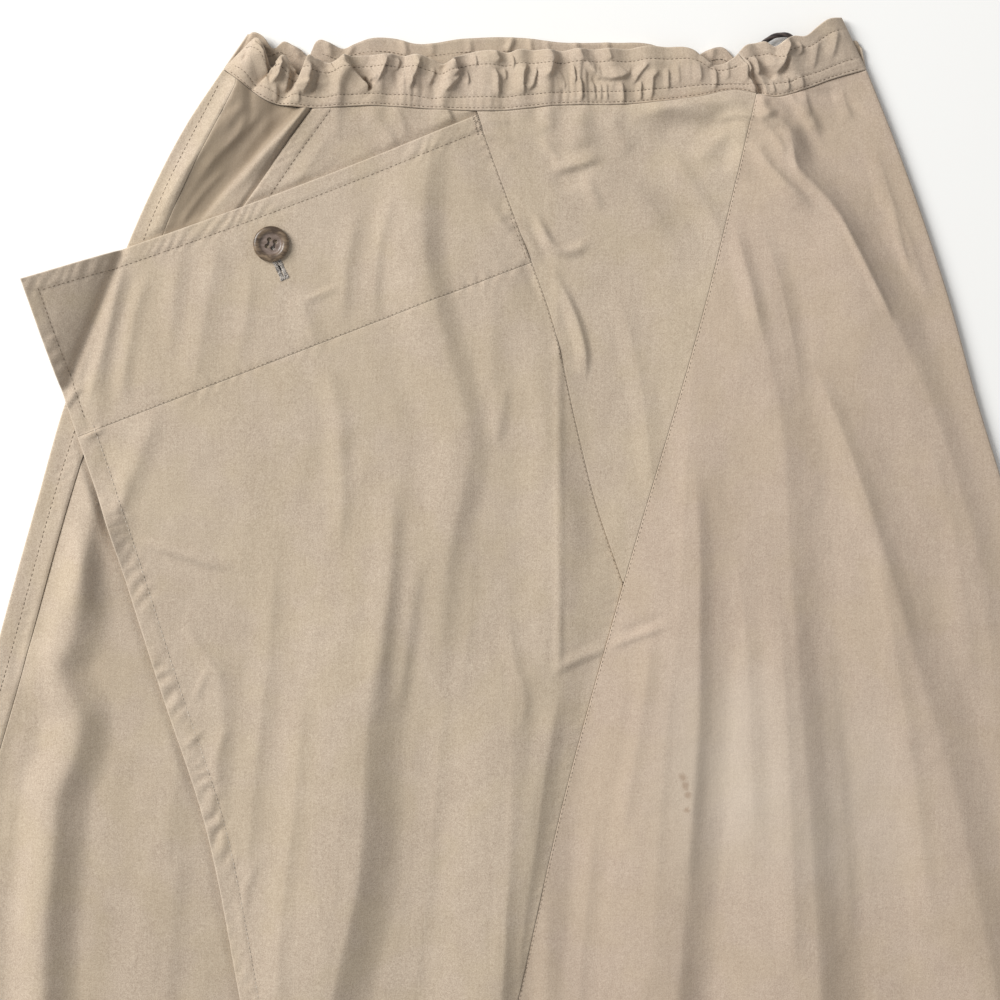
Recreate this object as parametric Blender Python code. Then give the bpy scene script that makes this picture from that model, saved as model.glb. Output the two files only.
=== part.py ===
"""Asymmetric A-line skirt in washed cotton, laid flat on its back: a gathered elastic waistband, a slant
pocket at the left hip, and a wrap panel that is sewn in along the front and buttoned over the hip.

Lengths here are in millimetres. The drawing's zero is the middle of the waist seam: x to the right, y
towards the waist and z up from the table. At the end an empty moves the skirt over its own middle. MM turns
lengths to metres.
"""

import math

import bmesh
import bpy
import mathutils
import numpy as np

MM = 0.001

# Cloth
CLOTH = 1.2  # wall of one layer
BAND_CLOTH = 1.6  # two layers with the elastic between them
GAP = 0.3  # between pieces at a seam
HALF_GAP = GAP / 2
LAYER = CLOTH + GAP  # what a piece rises by when it lies on another
FOLD_RADIUS = 2.4  # of the folded edge at each side, outside
BAND_FOLD_RADIUS = 2.6
FRONT_Z = 2 * FOLD_RADIUS  # top of the front where it lies flat
WAIST_GAP, BACK_WAIST_GAP = 0.4, 0.7  # wider where the points of two pieces don't match along their seam
EASE = 0.3  # added along the wrap panel's seam, and along the side seam above the pocket's end

# Grids of points: how many rows and columns a piece has
BACK_COLUMNS, SIDE_STRIP_COLUMNS = 17, 4
RIGHT_COLUMNS, UNDER_STRIP_COLUMNS = 37, 3
INSET_COLUMNS = 16
LEFT_COLUMNS = 22
POCKET_ROWS, POCKET_COLUMNS = 15, 8
FLAP_COLUMNS, WRAP_COLUMNS = 5, 22
BAND_ROWS, WRAP_UPPER_ROWS, WRAP_LOWER_ROWS = 6, 7, 17
WAISTBAND_ROWS, GATHERED_COLUMNS, RAISED_COLUMNS, BACK_BAND_COLUMNS = 5, 92, 20, 70
BACK_BAND_UP = (0, 0.45, 0.75, 1)  # rows of the back waistband, as shares of its height
SOLVER_ROUNDS = 30  # enough for a place on a curve to settle

# Skirt
LENGTH = 809  # waist seam to hem, down the middle
HEM_RISE, HEM_RISE_POWER = 52, 1.3  # how much higher the hem is at the sides, and how soon rows bend to it
WAIST_FADE = 12  # power by which the waist seam's own line dies out down the skirt
SIDE_CALM = 14  # distance from a side fold over which the front's folds come up
ROW_STARTS = (0, 0.018)  # rows close to the waist, as shares of the length
ROWS_FROM, ROWS = 0.055, 23  # the even rows below them
ROWS_APART = 0.012  # at least, from a row that is placed by hand
UNDER_SEAM = 30  # right side seam, in from the fold on the underside
JOINT_X = 120  # where the long seam and the waistband's joint meet
JOINT_SHIFT = 2  # how far left of that the waistband's joint starts
INSET_LAST_ROW, INSET_TIP = 0.02, 0.008  # how far short of its point the inset ends, as shares of the length
DROP_ROUNDING = 0.6  # how far a fold's steep side bows out

# Button
BUTTON_X, BUTTON_Y = -162.4, -80.6
BUTTON_DIAMETER, BUTTON_HEIGHT = 21, 3.3
BUTTON_SIDES = 28
THREAD_HOLE_RADIUS = 1.15
THREAD_HOLE_SIDES = 12
THREAD_HOLE_DEPTH = 9  # of the cutter, through the button and past both its faces
THREAD_HOLES_X, THREAD_HOLES_Y = 3.6, 3.9  # between the middles of its four holes
BUTTON_TURN = math.radians(-20)

# Loop
LOOP_DIAMETER = 3.2
LOOP_Z = 3.6
LOOP_POINTS = 25


def table(columns, *rows):
    """A short table as named columns."""
    return dict(zip(columns.split(), np.array(rows, float).T))


def along(rows, by, value, at):
    """One column of a table at places along another, on a smooth curve through its rows."""
    order = np.argsort(rows[by])
    x, y = rows[by][order], rows[value][order]
    width = np.diff(x)
    step = np.diff(y) / width
    inner = (step[:-1] * width[1:] + step[1:] * width[:-1]) / (width[1:] + width[:-1])
    slope = np.concatenate([step[:1], inner, step[-1:]])
    at = np.clip(at, x[0], x[-1])
    k = np.clip(np.searchsorted(x, at) - 1, 0, len(width) - 1)
    u = (at - x[k]) / width[k]
    start = (1 + 2 * u) * (1 - u) ** 2 * y[k] + u * (1 - u) ** 2 * width[k] * slope[k]
    return start + u**2 * (3 - 2 * u) * y[k + 1] - u**2 * (1 - u) * width[k] * slope[k + 1]


def ease(u):
    """0 below 0, 1 above 1, and smooth between."""
    u = np.clip(u, 0, 1)
    return u * u * (3 - 2 * u)


def fold(rise, fall, *rows):
    """A fold down the skirt: left of its crest it rises over `rise`, right of it it drops over `fall`."""
    return {"rise": rise, "fall": fall, "crest": table("y x height", *rows)}


# The skirt's outline, at the fold of each side.
OUTLINE = table(
    "y left right",
    (21, -191, 184),
    (-9, -211, 196),
    (-55, -235, 213),
    (-113, -259, 232),
    (-171, -282, 248),
    (-230, -299, 266),
    (-300, -318.5, 284.5),
    (-432, -351.5, 318.5),
    (-519, -375, 340.5),
    (-758, -430, 393),
)

# The waist seam, on the front in two parts that meet at the waistband's joint.
WAIST_LEFT = table(
    "x y",
    (-191, 21.5),
    (-184, 16.5),
    (-176, 10),
    (-166, 3.2),
    (-146, -1),
    (-105, 0),
    (-64, -2.3),
    (-30, -3),
    (5, 0.2),
    (45, 0.8),
    (86, 5),
    (108, 9),
    (119, 7.2),
)
WAIST_RIGHT = table("x y", (121, 6.6), (128, 5), (148, 9.5), (163, 15), (184, 21))
WAIST_BACK = table("x y", (-191, 21.5), (-168, 8.5), (-120, 3), (0, 2), (120, 3), (162, 10), (184, 21))

# Seams and free edges, each as x down the skirt.
SIDE_SEAM = table(
    "y x",
    (12, -183),
    (-55, -217),
    (-130, -246.5),
    (-204, -272),
    (-342, -311),
    (-490, -353),
    (-751, -407),
)
POCKET_EDGE = table("y x", (6, -133), (-19, -151.5), (-64, -183.5), (-104, -219), (-142, -250.5))
WRAP_SEAM = table("y x", (0, -44), (-16, -39), (-61, -22.6), (-126, 1), (-187, 15), (-231, 26), (-278, 42))
LONG_SEAM = table("y x", (10, JOINT_X), (-114, 90), (-278, 42), (-409, 6), (-519, -19), (-809, -88.7))
FREE_EDGE = table(
    "y x",
    (-102, -305),
    (-172, -282),
    (-238, -259.5),
    (-345, -225),
    (-409, -203.5),
    (-519, -180.5),
    (-806, -130.5),
)
APEX_Y = -278  # where the wrap panel's seam runs into the long seam

# The wrap panel's top edge and its band seam, from the free corner to the seam.
WRAP_TOP_LEFT, WRAP_TOP_RIGHT = -102, -5
WRAP_TOP_SAG = 3.2
BAND_SEAM_LEFT, BAND_SEAM_RIGHT = -192.5, -91

# Where the flap stands out past the skirt's left fold: a valley, then a rise to the corner.
FLAP_VALLEY, FLAP_VALLEY_AT, FLAP_VALLEY_WIDTH = 2.4, 5, 6
FLAP_RISE, FLAP_RISE_OVER = 10, 26
FLAP_FREE = 30  # the flap's own form is full where it is this wide
FLAP_CALM = 10  # the front's folds come up on it over this, right of the skirt's left fold
FLAP_LEAST = 0.02  # least share of a row that the flap takes

# On the skirt, folds die out under the wrap panel: from START inside its edge, over FADE.
UNDER_EDGE_START, UNDER_EDGE_FADE = 8, 18
UNDER_TOP_START, UNDER_TOP_FADE = 9, 16

FOLDS = {
    "under_left": fold(
        22,
        17,
        (-229, -270, 0),
        (-296, -276, 4),
        (-362, -277, 6),
        (-444, -291, 7),
        (-519, -297, 8),
        (-790, -312, 10),
    ),
    "under_middle": fold(45, 26, (-560, -215, 0), (-650, -222, 5), (-795, -232, 9)),
    "wrap_main": fold(
        70,
        24,
        (-200, -89, 0),
        (-252, -92, 3),
        (-357, -107, 7),
        (-450, -113, 9),
        (-519, -128, 8),
        (-600, -140, 0),
    ),
    "wrap_top": fold(
        30,
        13,
        (-9, -66, 0),
        (-44, -73.5, 4),
        (-75, -75, 5),
        (-154, -58, 4),
        (-188, -49, 4),
        (-264, -61, 4),
        (-357, -67, 0),
    ),
    "wrap_crease": fold(26, 16, (-115, 3, 0), (-171, 3, 4), (-287, 5, 5), (-357, -4, 0)),
    "centre": fold(48, 20, (-310, -23, 0), (-391, -24, 5), (-473, -27, 6), (-519, -30, 7), (-809, -47, 11)),
    "centre_right": fold(22, 18, (-339, 5, 0), (-403, -6, 3), (-478, -3, 4), (-519, -3, 4), (-809, 10, 5)),
    "right_first": fold(
        70, 20, (-188, 85, 0), (-258, 85, 4), (-380, 83, 5), (-473, 76, 7), (-519, 72, 8), (-809, 60, 11)
    ),
    "right_main": fold(
        62,
        26,
        (-49, 99, 0),
        (-90, 110, 3),
        (-171, 130, 5),
        (-275, 138, 6),
        (-391, 147, 9),
        (-519, 155, 9),
        (-806, 173, 13),
    ),
    "right_second": fold(
        55, 22, (-130, 143, 0), (-203, 173, 5), (-287, 198, 6), (-380, 228, 6), (-490, 252, 6), (-786, 300, 9)
    ),
    "hip": fold(
        30,
        20,
        (6, 114, 2),
        (-29, 136, 6),
        (-67, 165, 7),
        (-113, 197, 7),
        (-165, 223, 5),
        (-252, 246, 4),
        (-340, 262, 0),
    ),
}

# Pocket: the piece behind it bulges in a ridge beside the opening, then dips under the front's edge.
POCKET_RIDGE = fold(14, 11, (12, -131, 4), (-4, -148, 5), (-24, -164, 5), (-47, -183, 4), (-64, -197, 2))
POCKET_END_Y = -128
POCKET_DIP_START, POCKET_DIP_END = 6, 1  # from the front's edge, outwards
POCKET_DIP_LINE = 0.8  # last line of points before the edge, where the dip has ended
POCKET_UNDERLAP = 12
POCKET_LEAST_TOP = 0.4  # least share of the piece's width that stays out of the dip
POCKET_CALM, POCKET_RIDGE_CALM = 12, 8  # the front's folds and the ridge come up over these, outwards

# The waistband's top edge, a row for each crest and valley of its gathers. `lean` moves one along the seam.
GATHERS_FRONT = table(
    "x y z lean",
    (-177, 36, 0, 0),
    (-171, 38, 4, 1),
    (-167, 35, 6.5, 1),
    (-162.5, 21, 1, 1),
    (-155.5, 28, 6.5, 0),
    (-151, 22.5, 2, 0),
    (-146.5, 18.5, 1, 0),
    (-142, 26.5, 6, 0),
    (-134, 26, 4, 1),
    (-127.5, 24.5, 1, 3),
    (-120, 28.5, 6, 6),
    (-115, 28.5, 2, 5),
    (-106, 29, 1.5, 2),
    (-93, 29, 3.5, -2),
    (-87, 28.5, 1.2, -2),
    (-77, 29.5, 3.5, -3),
    (-69, 27, 1.2, -3),
    (-61, 24, 1, -3),
    (-57, 27, 4, -2),
    (-53, 29.5, 1.5, -2),
    (-32, 31.5, 3, 0),
    (-26, 30.5, 1, 0),
    (-18, 32.5, 2.6, 1),
    (-11, 32, 1.2, 1),
    (-1, 32, 4.2, 0),
    (5, 31.5, 1, 0),
    (17, 33, 3.4, 0),
    (23, 32.5, 1, 0),
    (35, 33, 3, 2),
    (42, 32.5, 1.2, 2),
    (57, 34.5, 2.6, 0),
    (65, 34, 1.2, 0),
    (83, 32, 2.6, 0),
    (93.5, 24, 0.6, 0),
    (106, 27.5, 3, 2),
    (112.5, 34, 5.5, 2),
    (118, 35.5, 4.2, 2),
    (124, 37, 5.5, 1),
    (130, 35.5, 5, 0),
    (135, 38, 7, -2),
    (140, 39.5, 5.4, -2),
    (148, 40, 4.6, -1),
    (154, 45, 3.5, 0),
    (160, 49.5, 3, 0),
    (169.5, 51.6, 0, 0),
)
GATHERS_BACK = table(
    "x y z",
    (-177, 42, 2),
    (-171, 42.3, 4),
    (-166.5, 39.4, 3),
    (-162.5, 34, 0.5),
    (-155, 37.5, 2),
    (-149, 34.8, 1),
    (-143, 30.7, 0),
    (-137, 36, 1),
    (-131, 38, 2),
    (-121, 33.6, 0.5),
    (-105, 39.4, 1),
    (-91, 39.4, 0.6),
    (-80, 36.5, 1),
    (-50, 39.4, 1),
    (-18, 40, 0.6),
    (8, 37, 1),
    (37, 37, 0.6),
    (59, 36, 0.4),
    (80, 27, 0),
    (92, 33, 0.5),
    (101, 34, 0.5),
    (108, 27, 0),
    (130, 24, 0),
    (158, 27, 0),
    (172, 36, 0.5),
    (178, 38, 0.8),
    (181.5, 34, 0),
)
SEAM_ENDS = (-191, 184)  # the waistband's ends at the seam
GATHER_AT_SEAM = 0.25  # share of a gather's height that is left at the seam
GATHER_FADE = 30  # over which it dies out below the seam
GATHER_CURVE, BACK_GATHER_CURVE = 0.8, 6  # powers by which gathers grow up the band, the back's at its top
BAND_END_CALM = 4

WASHED_COTTON = (0.50, 0.41, 0.31)
HORN_BROWN = (0.16, 0.11, 0.08)
CORD_BROWN = (0.05, 0.035, 0.03)


def material(name, colour, roughness):
    made = bpy.data.materials.new(name)
    made.use_nodes = True
    shader = made.node_tree.nodes["Principled BSDF"]
    shader.inputs["Base Color"].default_value = (*colour, 1)
    shader.inputs["Roughness"].default_value = roughness
    made.diffuse_color = (*colour, 1)
    return made


def add_object(name, data, finish, skirt):
    made = bpy.data.objects.new(name, data)
    bpy.context.scene.collection.objects.link(made)
    made.data.materials.append(finish)
    made.parent = skirt
    return made


def cloth_wall(name, outer, inner, skirt, tint=1.0):
    """A closed wall between two grids of points. Seen from outside, rows run down and columns right."""
    rows, columns = outer.shape[:2]
    number = np.arange(rows * columns).reshape(rows, columns)
    corners = (number[:-1, :-1], number[1:, :-1], number[1:, 1:], number[:-1, 1:])
    top = np.stack(corners, axis=-1).reshape(-1, 4)
    rim = np.concatenate([number[:, 0], number[-1, 1:], number[-2::-1, -1], number[0, -2:0:-1]])
    after = np.roll(rim, -1)
    under = rows * columns
    edge = np.stack([after, rim, rim + under, after + under], axis=-1)
    faces = np.concatenate([top, top[:, ::-1] + under, edge])
    points = np.concatenate([outer.reshape(-1, 3), inner.reshape(-1, 3)]) * MM
    mesh = bpy.data.meshes.new(name)
    mesh.from_pydata(points.tolist(), [], faces.tolist())
    mesh.shade_smooth()
    mesh.set_sharp_from_angle(angle=math.radians(50))
    return add_object(name, mesh, material(name, [tint * c for c in WASHED_COTTON], 0.9), skirt)


def waist_y(x, under=False):
    """The waist seam: the front's in its two parts, or the back's."""
    front = np.where(x < JOINT_X, along(WAIST_LEFT, "x", "y", x), along(WAIST_RIGHT, "x", "y", x))
    return np.where(under, along(WAIST_BACK, "x", "y", x), front)


def plan(across, down, seam=WAIST_LEFT, under=False):
    """Where a point of the flat skirt lies: across runs 0 to 1 from fold to fold, down 0 to 1 from waist to
    hem. seam is the front's stretch of the waist seam."""
    waist = (1 - down) ** WAIST_FADE
    rise = HEM_RISE * down**HEM_RISE_POWER
    side = -LENGTH * down + rise + WAIST_LEFT["y"][0] * waist
    left, right = (along(OUTLINE, "y", edge, side) for edge in ("left", "right"))
    x = left + (right - left) * across
    top = np.where(under, along(WAIST_BACK, "x", "y", x), along(seam, "x", "y", x))
    y = -LENGTH * down + rise * (2 * across - 1) ** 2 + top * waist
    return x, y, left, right


def across_at(path, down, shift=0.0, seam=WAIST_LEFT):
    """How far across the skirt a path lies, at each place down it."""
    across = np.full(np.shape(down), 0.5)
    for _ in range(SOLVER_ROUNDS):
        x, y, left, right = plan(across, down, seam)
        across = across + (path(y) + shift - x) / (right - left)
    return across


def side_seam(y):
    return along(SIDE_SEAM, "y", "x", y)


def front_left_edge(y):
    """The pocket's edge as far as it goes, then the side seam."""
    return np.where(y > POCKET_EDGE["y"][-1], along(POCKET_EDGE, "y", "x", y), side_seam(y))


def long_seam(y):
    return along(LONG_SEAM, "y", "x", y)


def wrap_seam(y):
    """The seam that the wrap panel is sewn into: its own down to the apex, then the long seam."""
    return np.where(y > APEX_Y, along(WRAP_SEAM, "y", "x", y), long_seam(y))


def free_edge(y):
    return along(FREE_EDGE, "y", "x", y)


def fold_height(x, y, shape):
    """Height of one fold: a gentle rise to its crest, then a steeper drop that levels out."""
    crest = shape["crest"]
    slope = (along(crest, "y", "x", y + 1) - along(crest, "y", "x", y - 1)) / 2
    beside = (x - along(crest, "y", "x", y)) / np.sqrt(1 + slope**2)
    left = (1 - np.clip(-beside / shape["rise"], 0, 1) ** 2) ** 2
    drop = np.clip(beside / shape["fall"], 0, 1)
    right = (1 - drop) ** 2 * (1 + DROP_ROUNDING * drop)
    return np.maximum(along(crest, "y", "height", y), 0) * np.where(beside < 0, left, right)


def gather_z(seam_x):
    """Height of the waistband's gathers along the waist seam."""
    rows = dict(GATHERS_FRONT, seam=seam_of(GATHERS_FRONT["x"], GATHERS_FRONT) + GATHERS_FRONT["lean"])
    return GATHER_AT_SEAM * np.interp(seam_x, rows["seam"], rows["z"])


def seam_of(x, gathers):
    """Place at the seam below a place on the waistband's top edge."""
    return np.interp(x, gathers["x"][[0, -1]], SEAM_ENDS)


def front_lift(x, y):
    """How far the front stands up over where it would lie flat."""
    folds = sum(fold_height(x, y, shape) for shape in FOLDS.values())
    return folds + gather_z(x) * ease(1 - (waist_y(x) - y) / GATHER_FADE)


def wrap_top_y(x):
    """The wrap panel's top edge."""
    left, right = free_edge(WRAP_TOP_LEFT), wrap_seam(WRAP_TOP_RIGHT)
    t = np.clip((x - left) / (right - left), 0, 1)
    return WRAP_TOP_LEFT + (WRAP_TOP_RIGHT - WRAP_TOP_LEFT) * t - 4 * WRAP_TOP_SAG * t * (1 - t)


def uncovered(x, y):
    """1 where the wrap panel doesn't lie on the skirt, falling to 0 at its edges."""
    beside = ease((free_edge(y) - x - UNDER_EDGE_START) / UNDER_EDGE_FADE)
    above = ease((y - wrap_top_y(x) - UNDER_TOP_START) / UNDER_TOP_FADE)
    return np.maximum(beside, above)


def tube(round_, down, lift, seam=WAIST_LEFT):
    """Outer and inner points of the skirt's tube. round_ is 0 to 1 across the front, and goes on past both
    folds to the underside."""
    under = (round_ < 0) | (round_ > 1)
    across = np.where(round_ < 0, -round_, np.where(round_ > 1, 2 - round_, round_))
    x, y, left, right = plan(across, down, seam, under)
    near = np.where(across < 0.5, x - left, right - x)
    turn = np.arccos(1 - np.clip(near / FOLD_RADIUS, 0, 1))
    out = np.where(across < 0.5, -1, 1) * np.cos(turn)
    up = np.where(under, -1, 1) * np.sin(turn)
    raised = np.where(under, 0, lift(x, y) * ease((near - FOLD_RADIUS) / SIDE_CALM))
    outer = np.stack([x, y, FOLD_RADIUS * (1 + up) + raised], axis=-1)
    return outer, outer - CLOTH * np.stack([out, 0 * out, up], axis=-1)


def rows_down(*places):
    """Places down the skirt: close together at the waist, even below, and with the given ones among them."""
    even = np.linspace(ROWS_FROM, 1, ROWS)
    clear = np.abs(even[:, None] - np.array(places)).min(axis=1) > ROWS_APART
    return np.sort(np.concatenate([ROW_STARTS, even[clear], places]))


def down_at(y, path):
    """How far down the skirt a seam passes a height."""
    down = -y / LENGTH
    for _ in range(SOLVER_ROUNDS):
        down = down + (plan(across_at(path, down), down)[1] - y) / LENGTH
    return down


def between(start, end, share):
    """Rows of places from start to end, at the given shares."""
    return start[:, None] + (end - start)[:, None] * share[None, :]


def front_columns(start, end, count):
    """Even places across each row, from one edge of a front piece to the other."""
    return between(start, end, np.linspace(0, 1, count))


def round_fold(down):
    """Places of the columns that turn round a side fold, from where it is flat to the outermost."""
    left, right = plan(np.zeros_like(down), down)[2:]
    flat_to_outermost = FOLD_RADIUS * (1 - np.cos(np.radians([90, 45, 0])))
    return flat_to_outermost / (right - left)[:, None]


def skirt_lift(x, y):
    """How far the front stands up, with its folds dying out under the wrap panel."""
    return front_lift(x, y) * uncovered(x, y)


def make_back(skirt, down):
    """The underside from the right seam to the left fold, and round it to the side seam on the front."""
    turns = round_fold(down)
    left, right = plan(np.zeros_like(down), down)[2:]
    inwards = (1 - np.cos(np.linspace(0, math.pi, BACK_COLUMNS))) / 2
    flat = between(-1 + (UNDER_SEAM + HALF_GAP) / (right - left), -turns[:, 0], inwards)
    front = front_columns(turns[:, 0], across_at(side_seam, down, -HALF_GAP), SIDE_STRIP_COLUMNS)
    across = np.concatenate([flat, -turns[:, 1:], turns[:, 1:2], front], axis=1)
    cloth_wall("back_panel", *tube(across, down[:, None], skirt_lift), skirt, tint=0.97)


def make_front_right(skirt, down):
    """From the long seam to the right fold, and round it to the seam underneath."""
    turns = round_fold(down)
    left, right = plan(np.zeros_like(down), down)[2:]
    start = across_at(long_seam, down, HALF_GAP, WAIST_RIGHT)
    flat = front_columns(start, 1 - turns[:, 0], RIGHT_COLUMNS)
    under = front_columns(1 + turns[:, 0], 1 + (UNDER_SEAM - HALF_GAP) / (right - left), UNDER_STRIP_COLUMNS)
    across = np.concatenate([flat, 1 - turns[:, 1:], 1 + turns[:, 1:2], under], axis=1)
    cloth_wall("front_right_panel", *tube(across, down[:, None], front_lift, WAIST_RIGHT), skirt)


def make_inset(skirt, down, apex):
    """The triangle between the wrap panel's seam and the long seam, to just short of its point."""
    down = np.append(down[down < apex - INSET_LAST_ROW], apex - INSET_TIP)
    start, end = across_at(wrap_seam, down, HALF_GAP), across_at(long_seam, down, -HALF_GAP)
    across = front_columns(start, end, INSET_COLUMNS)
    cloth_wall("front_inset", *tube(across, down[:, None], front_lift), skirt, tint=1.02)


def make_front_left(skirt, apex):
    """The under front, from the pocket's edge and the side seam to the wrap panel's seam."""
    down = rows_down(apex, down_at(POCKET_EDGE["y"][-1], side_seam))
    start, end = across_at(front_left_edge, down, HALF_GAP), across_at(wrap_seam, down, -HALF_GAP)
    across = front_columns(start, end, LEFT_COLUMNS)
    cloth_wall("front_left_panel", *tube(across, down[:, None], skirt_lift), skirt, tint=0.98)


def pocket_lift(x, y):
    """How far the piece behind the pocket stands up: over its ridge, then a layer down under the front."""
    out = front_left_edge(y) - x
    ridge = fold_height(x, y, POCKET_RIDGE) * uncovered(x, y)
    dip = 1 - np.clip((out - POCKET_DIP_END) / (POCKET_DIP_START - POCKET_DIP_END), 0, 1)
    folds = skirt_lift(x, y) * ease(out / POCKET_CALM)
    return folds + ridge * ease(out / POCKET_RIDGE_CALM) - LAYER * dip


def make_pocket_side(skirt):
    down = np.linspace(0, down_at(POCKET_END_Y, side_seam), POCKET_ROWS)
    seam = across_at(side_seam, down, HALF_GAP + EASE)
    dipped = across_at(front_left_edge, down, -POCKET_DIP_LINE)
    dip_start = across_at(front_left_edge, down, -POCKET_DIP_START)
    dip_start = np.maximum(dip_start, seam + (dipped - seam) * POCKET_LEAST_TOP)
    hidden = across_at(front_left_edge, down, POCKET_UNDERLAP)
    top = front_columns(seam, dip_start, POCKET_COLUMNS)
    across = np.concatenate([top, front_columns(dipped, hidden, 2)], axis=1)
    cloth_wall("side_front_left", *tube(across, down[:, None], pocket_lift), skirt)


def wrap_lift(x, y):
    """How far the wrap panel stands up: the front's folds, and past the left fold a valley, then a rise."""
    side = along(OUTLINE, "y", "left", y)
    past = side - x
    valley = (1 - np.clip(np.abs(past - FLAP_VALLEY_AT) / FLAP_VALLEY_WIDTH, 0, 1) ** 2) ** 2
    rise = FLAP_RISE * (1 - np.exp(-np.maximum(past - FLAP_VALLEY_AT, 0) / FLAP_RISE_OVER))
    free = ease((side - free_edge(y)) / FLAP_FREE)
    return front_lift(x, y) * ease(-past / FLAP_CALM) + free * (rise - FLAP_VALLEY * valley)


def wrap_points(flap, right, down, left_y, right_y, sag=0):
    """A grid of the wrap panel, between a pair of heights at its free edge and another at its seam. down runs
    0 to 1 from the first of each pair to the second, flap 0 to 1 from the free edge to the skirt's left fold,
    and right 0 to 1 from there to the seam."""
    down = down[:, None]
    left = left_y[0] + (left_y[1] - left_y[0]) * down
    seam = right_y[0] + (right_y[1] - right_y[0]) * down
    start, end = free_edge(left), wrap_seam(seam) - HALF_GAP - EASE
    side = np.zeros_like(start)
    for _ in range(SOLVER_ROUNDS):
        side = (along(OUTLINE, "y", "left", left + (seam - left) * side) - start) / (end - start)
    side = np.maximum(side, FLAP_LEAST)
    across = np.concatenate([side * flap, side + (1 - side) * right], axis=1)
    x = start + (end - start) * across
    y = left + (seam - left) * across - 4 * sag * (1 - down) * across * (1 - across)
    outer = np.stack([x, y, FRONT_Z + LAYER + wrap_lift(x, y)], axis=-1)
    return outer, outer - np.array([0, 0, CLOTH])


def make_wrap(skirt):
    flap, across = np.linspace(0, 1, FLAP_COLUMNS + 1)[:-1], np.linspace(0, 1, WRAP_COLUMNS)
    left = (WRAP_TOP_LEFT, BAND_SEAM_LEFT + HALF_GAP)
    right = (WRAP_TOP_RIGHT, BAND_SEAM_RIGHT + HALF_GAP)
    points = wrap_points(flap, across, np.linspace(0, 1, BAND_ROWS), left, right, WRAP_TOP_SAG)
    cloth_wall("overlay_band", *points, skirt, tint=1.01)

    hem = np.ones(1)
    hem_left, hem_right = (plan(across_at(edge, hem), hem)[1][0] for edge in (free_edge, wrap_seam))
    left = (BAND_SEAM_LEFT - HALF_GAP, hem_left)
    right = (BAND_SEAM_RIGHT - HALF_GAP, hem_right)
    apex = (APEX_Y - right[0]) / (right[1] - right[0])
    upper, lower = np.linspace(0, apex, WRAP_UPPER_ROWS), np.linspace(apex, 1, WRAP_LOWER_ROWS)
    down = np.concatenate([upper, lower[1:]])
    cloth_wall("overlay_panel", *wrap_points(flap[:1], across, down, left, right), skirt, tint=1.03)


def band_points(gathers, x, up, side):
    """A grid of the waistband, on the front (side 1) or the back (side -1). x is along its top edge, and up
    runs 0 to 1 from the seam to that edge."""
    seam = seam_of(x, gathers) + (along(gathers, "x", "lean", x) if "lean" in gathers else 0)
    top_y, top_z = along(gathers, "x", "y", x), np.maximum(along(gathers, "x", "z", x), 0)
    up = up[:, None]
    plan_x = seam + (x - seam) * up
    start = waist_y(seam, side < 0) + (WAIST_GAP if side > 0 else BACK_WAIST_GAP)
    y = start + (top_y - start) * up
    near = np.minimum(x - gathers["x"][0], gathers["x"][-1] - x)
    turn = np.arccos(1 - np.clip(near / BAND_FOLD_RADIUS, 0, 1))
    out = np.where(x < 0, -1, 1) * np.cos(turn) + 0 * up
    over = side * np.sin(turn) + 0 * up
    if side > 0:
        share = GATHER_AT_SEAM + (1 - GATHER_AT_SEAM) * up**GATHER_CURVE
    else:
        share = up**BACK_GATHER_CURVE
    flat_z = BAND_FOLD_RADIUS * (1 + over) + side * HALF_GAP * (1 - np.sin(turn))
    outer = np.stack([plan_x, y, flat_z + top_z * share * ease(near / BAND_END_CALM)], axis=-1)
    return outer[::-1], (outer - BAND_CLOTH * np.stack([out, 0 * out, over], axis=-1))[::-1]


def make_waistband(skirt):
    turns = BAND_FOLD_RADIUS * (1 - np.cos(np.radians([0, 45, 90])))
    first, last = GATHERS_FRONT["x"][[0, -1]]
    joint = np.interp(JOINT_X - JOINT_SHIFT, SEAM_ENDS, (first, last))
    up = np.linspace(0, 1, WAISTBAND_ROWS)
    gathered = np.linspace(first + BAND_FOLD_RADIUS, joint - HALF_GAP, GATHERED_COLUMNS)
    left = np.concatenate([first + turns, gathered[1:]])
    cloth_wall("waistband_front_left", *band_points(GATHERS_FRONT, left, up, 1), skirt, tint=1.02)

    gathered = np.linspace(joint + GAP, last - BAND_FOLD_RADIUS, RAISED_COLUMNS)
    right = np.concatenate([gathered, last - turns[1::-1]])
    cloth_wall("waistband_front_right", *band_points(GATHERS_FRONT, right, up, 1), skirt, tint=1.02)

    first, last = GATHERS_BACK["x"][[0, -1]]
    gathered = np.linspace(last - BAND_FOLD_RADIUS, first + BAND_FOLD_RADIUS, BACK_BAND_COLUMNS)
    back = np.concatenate([last - turns[:-1], gathered, first + turns[1::-1]])
    up = np.array(BACK_BAND_UP)
    cloth_wall("waistband_back", *band_points(GATHERS_BACK, back, up, -1), skirt, tint=0.95)


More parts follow.
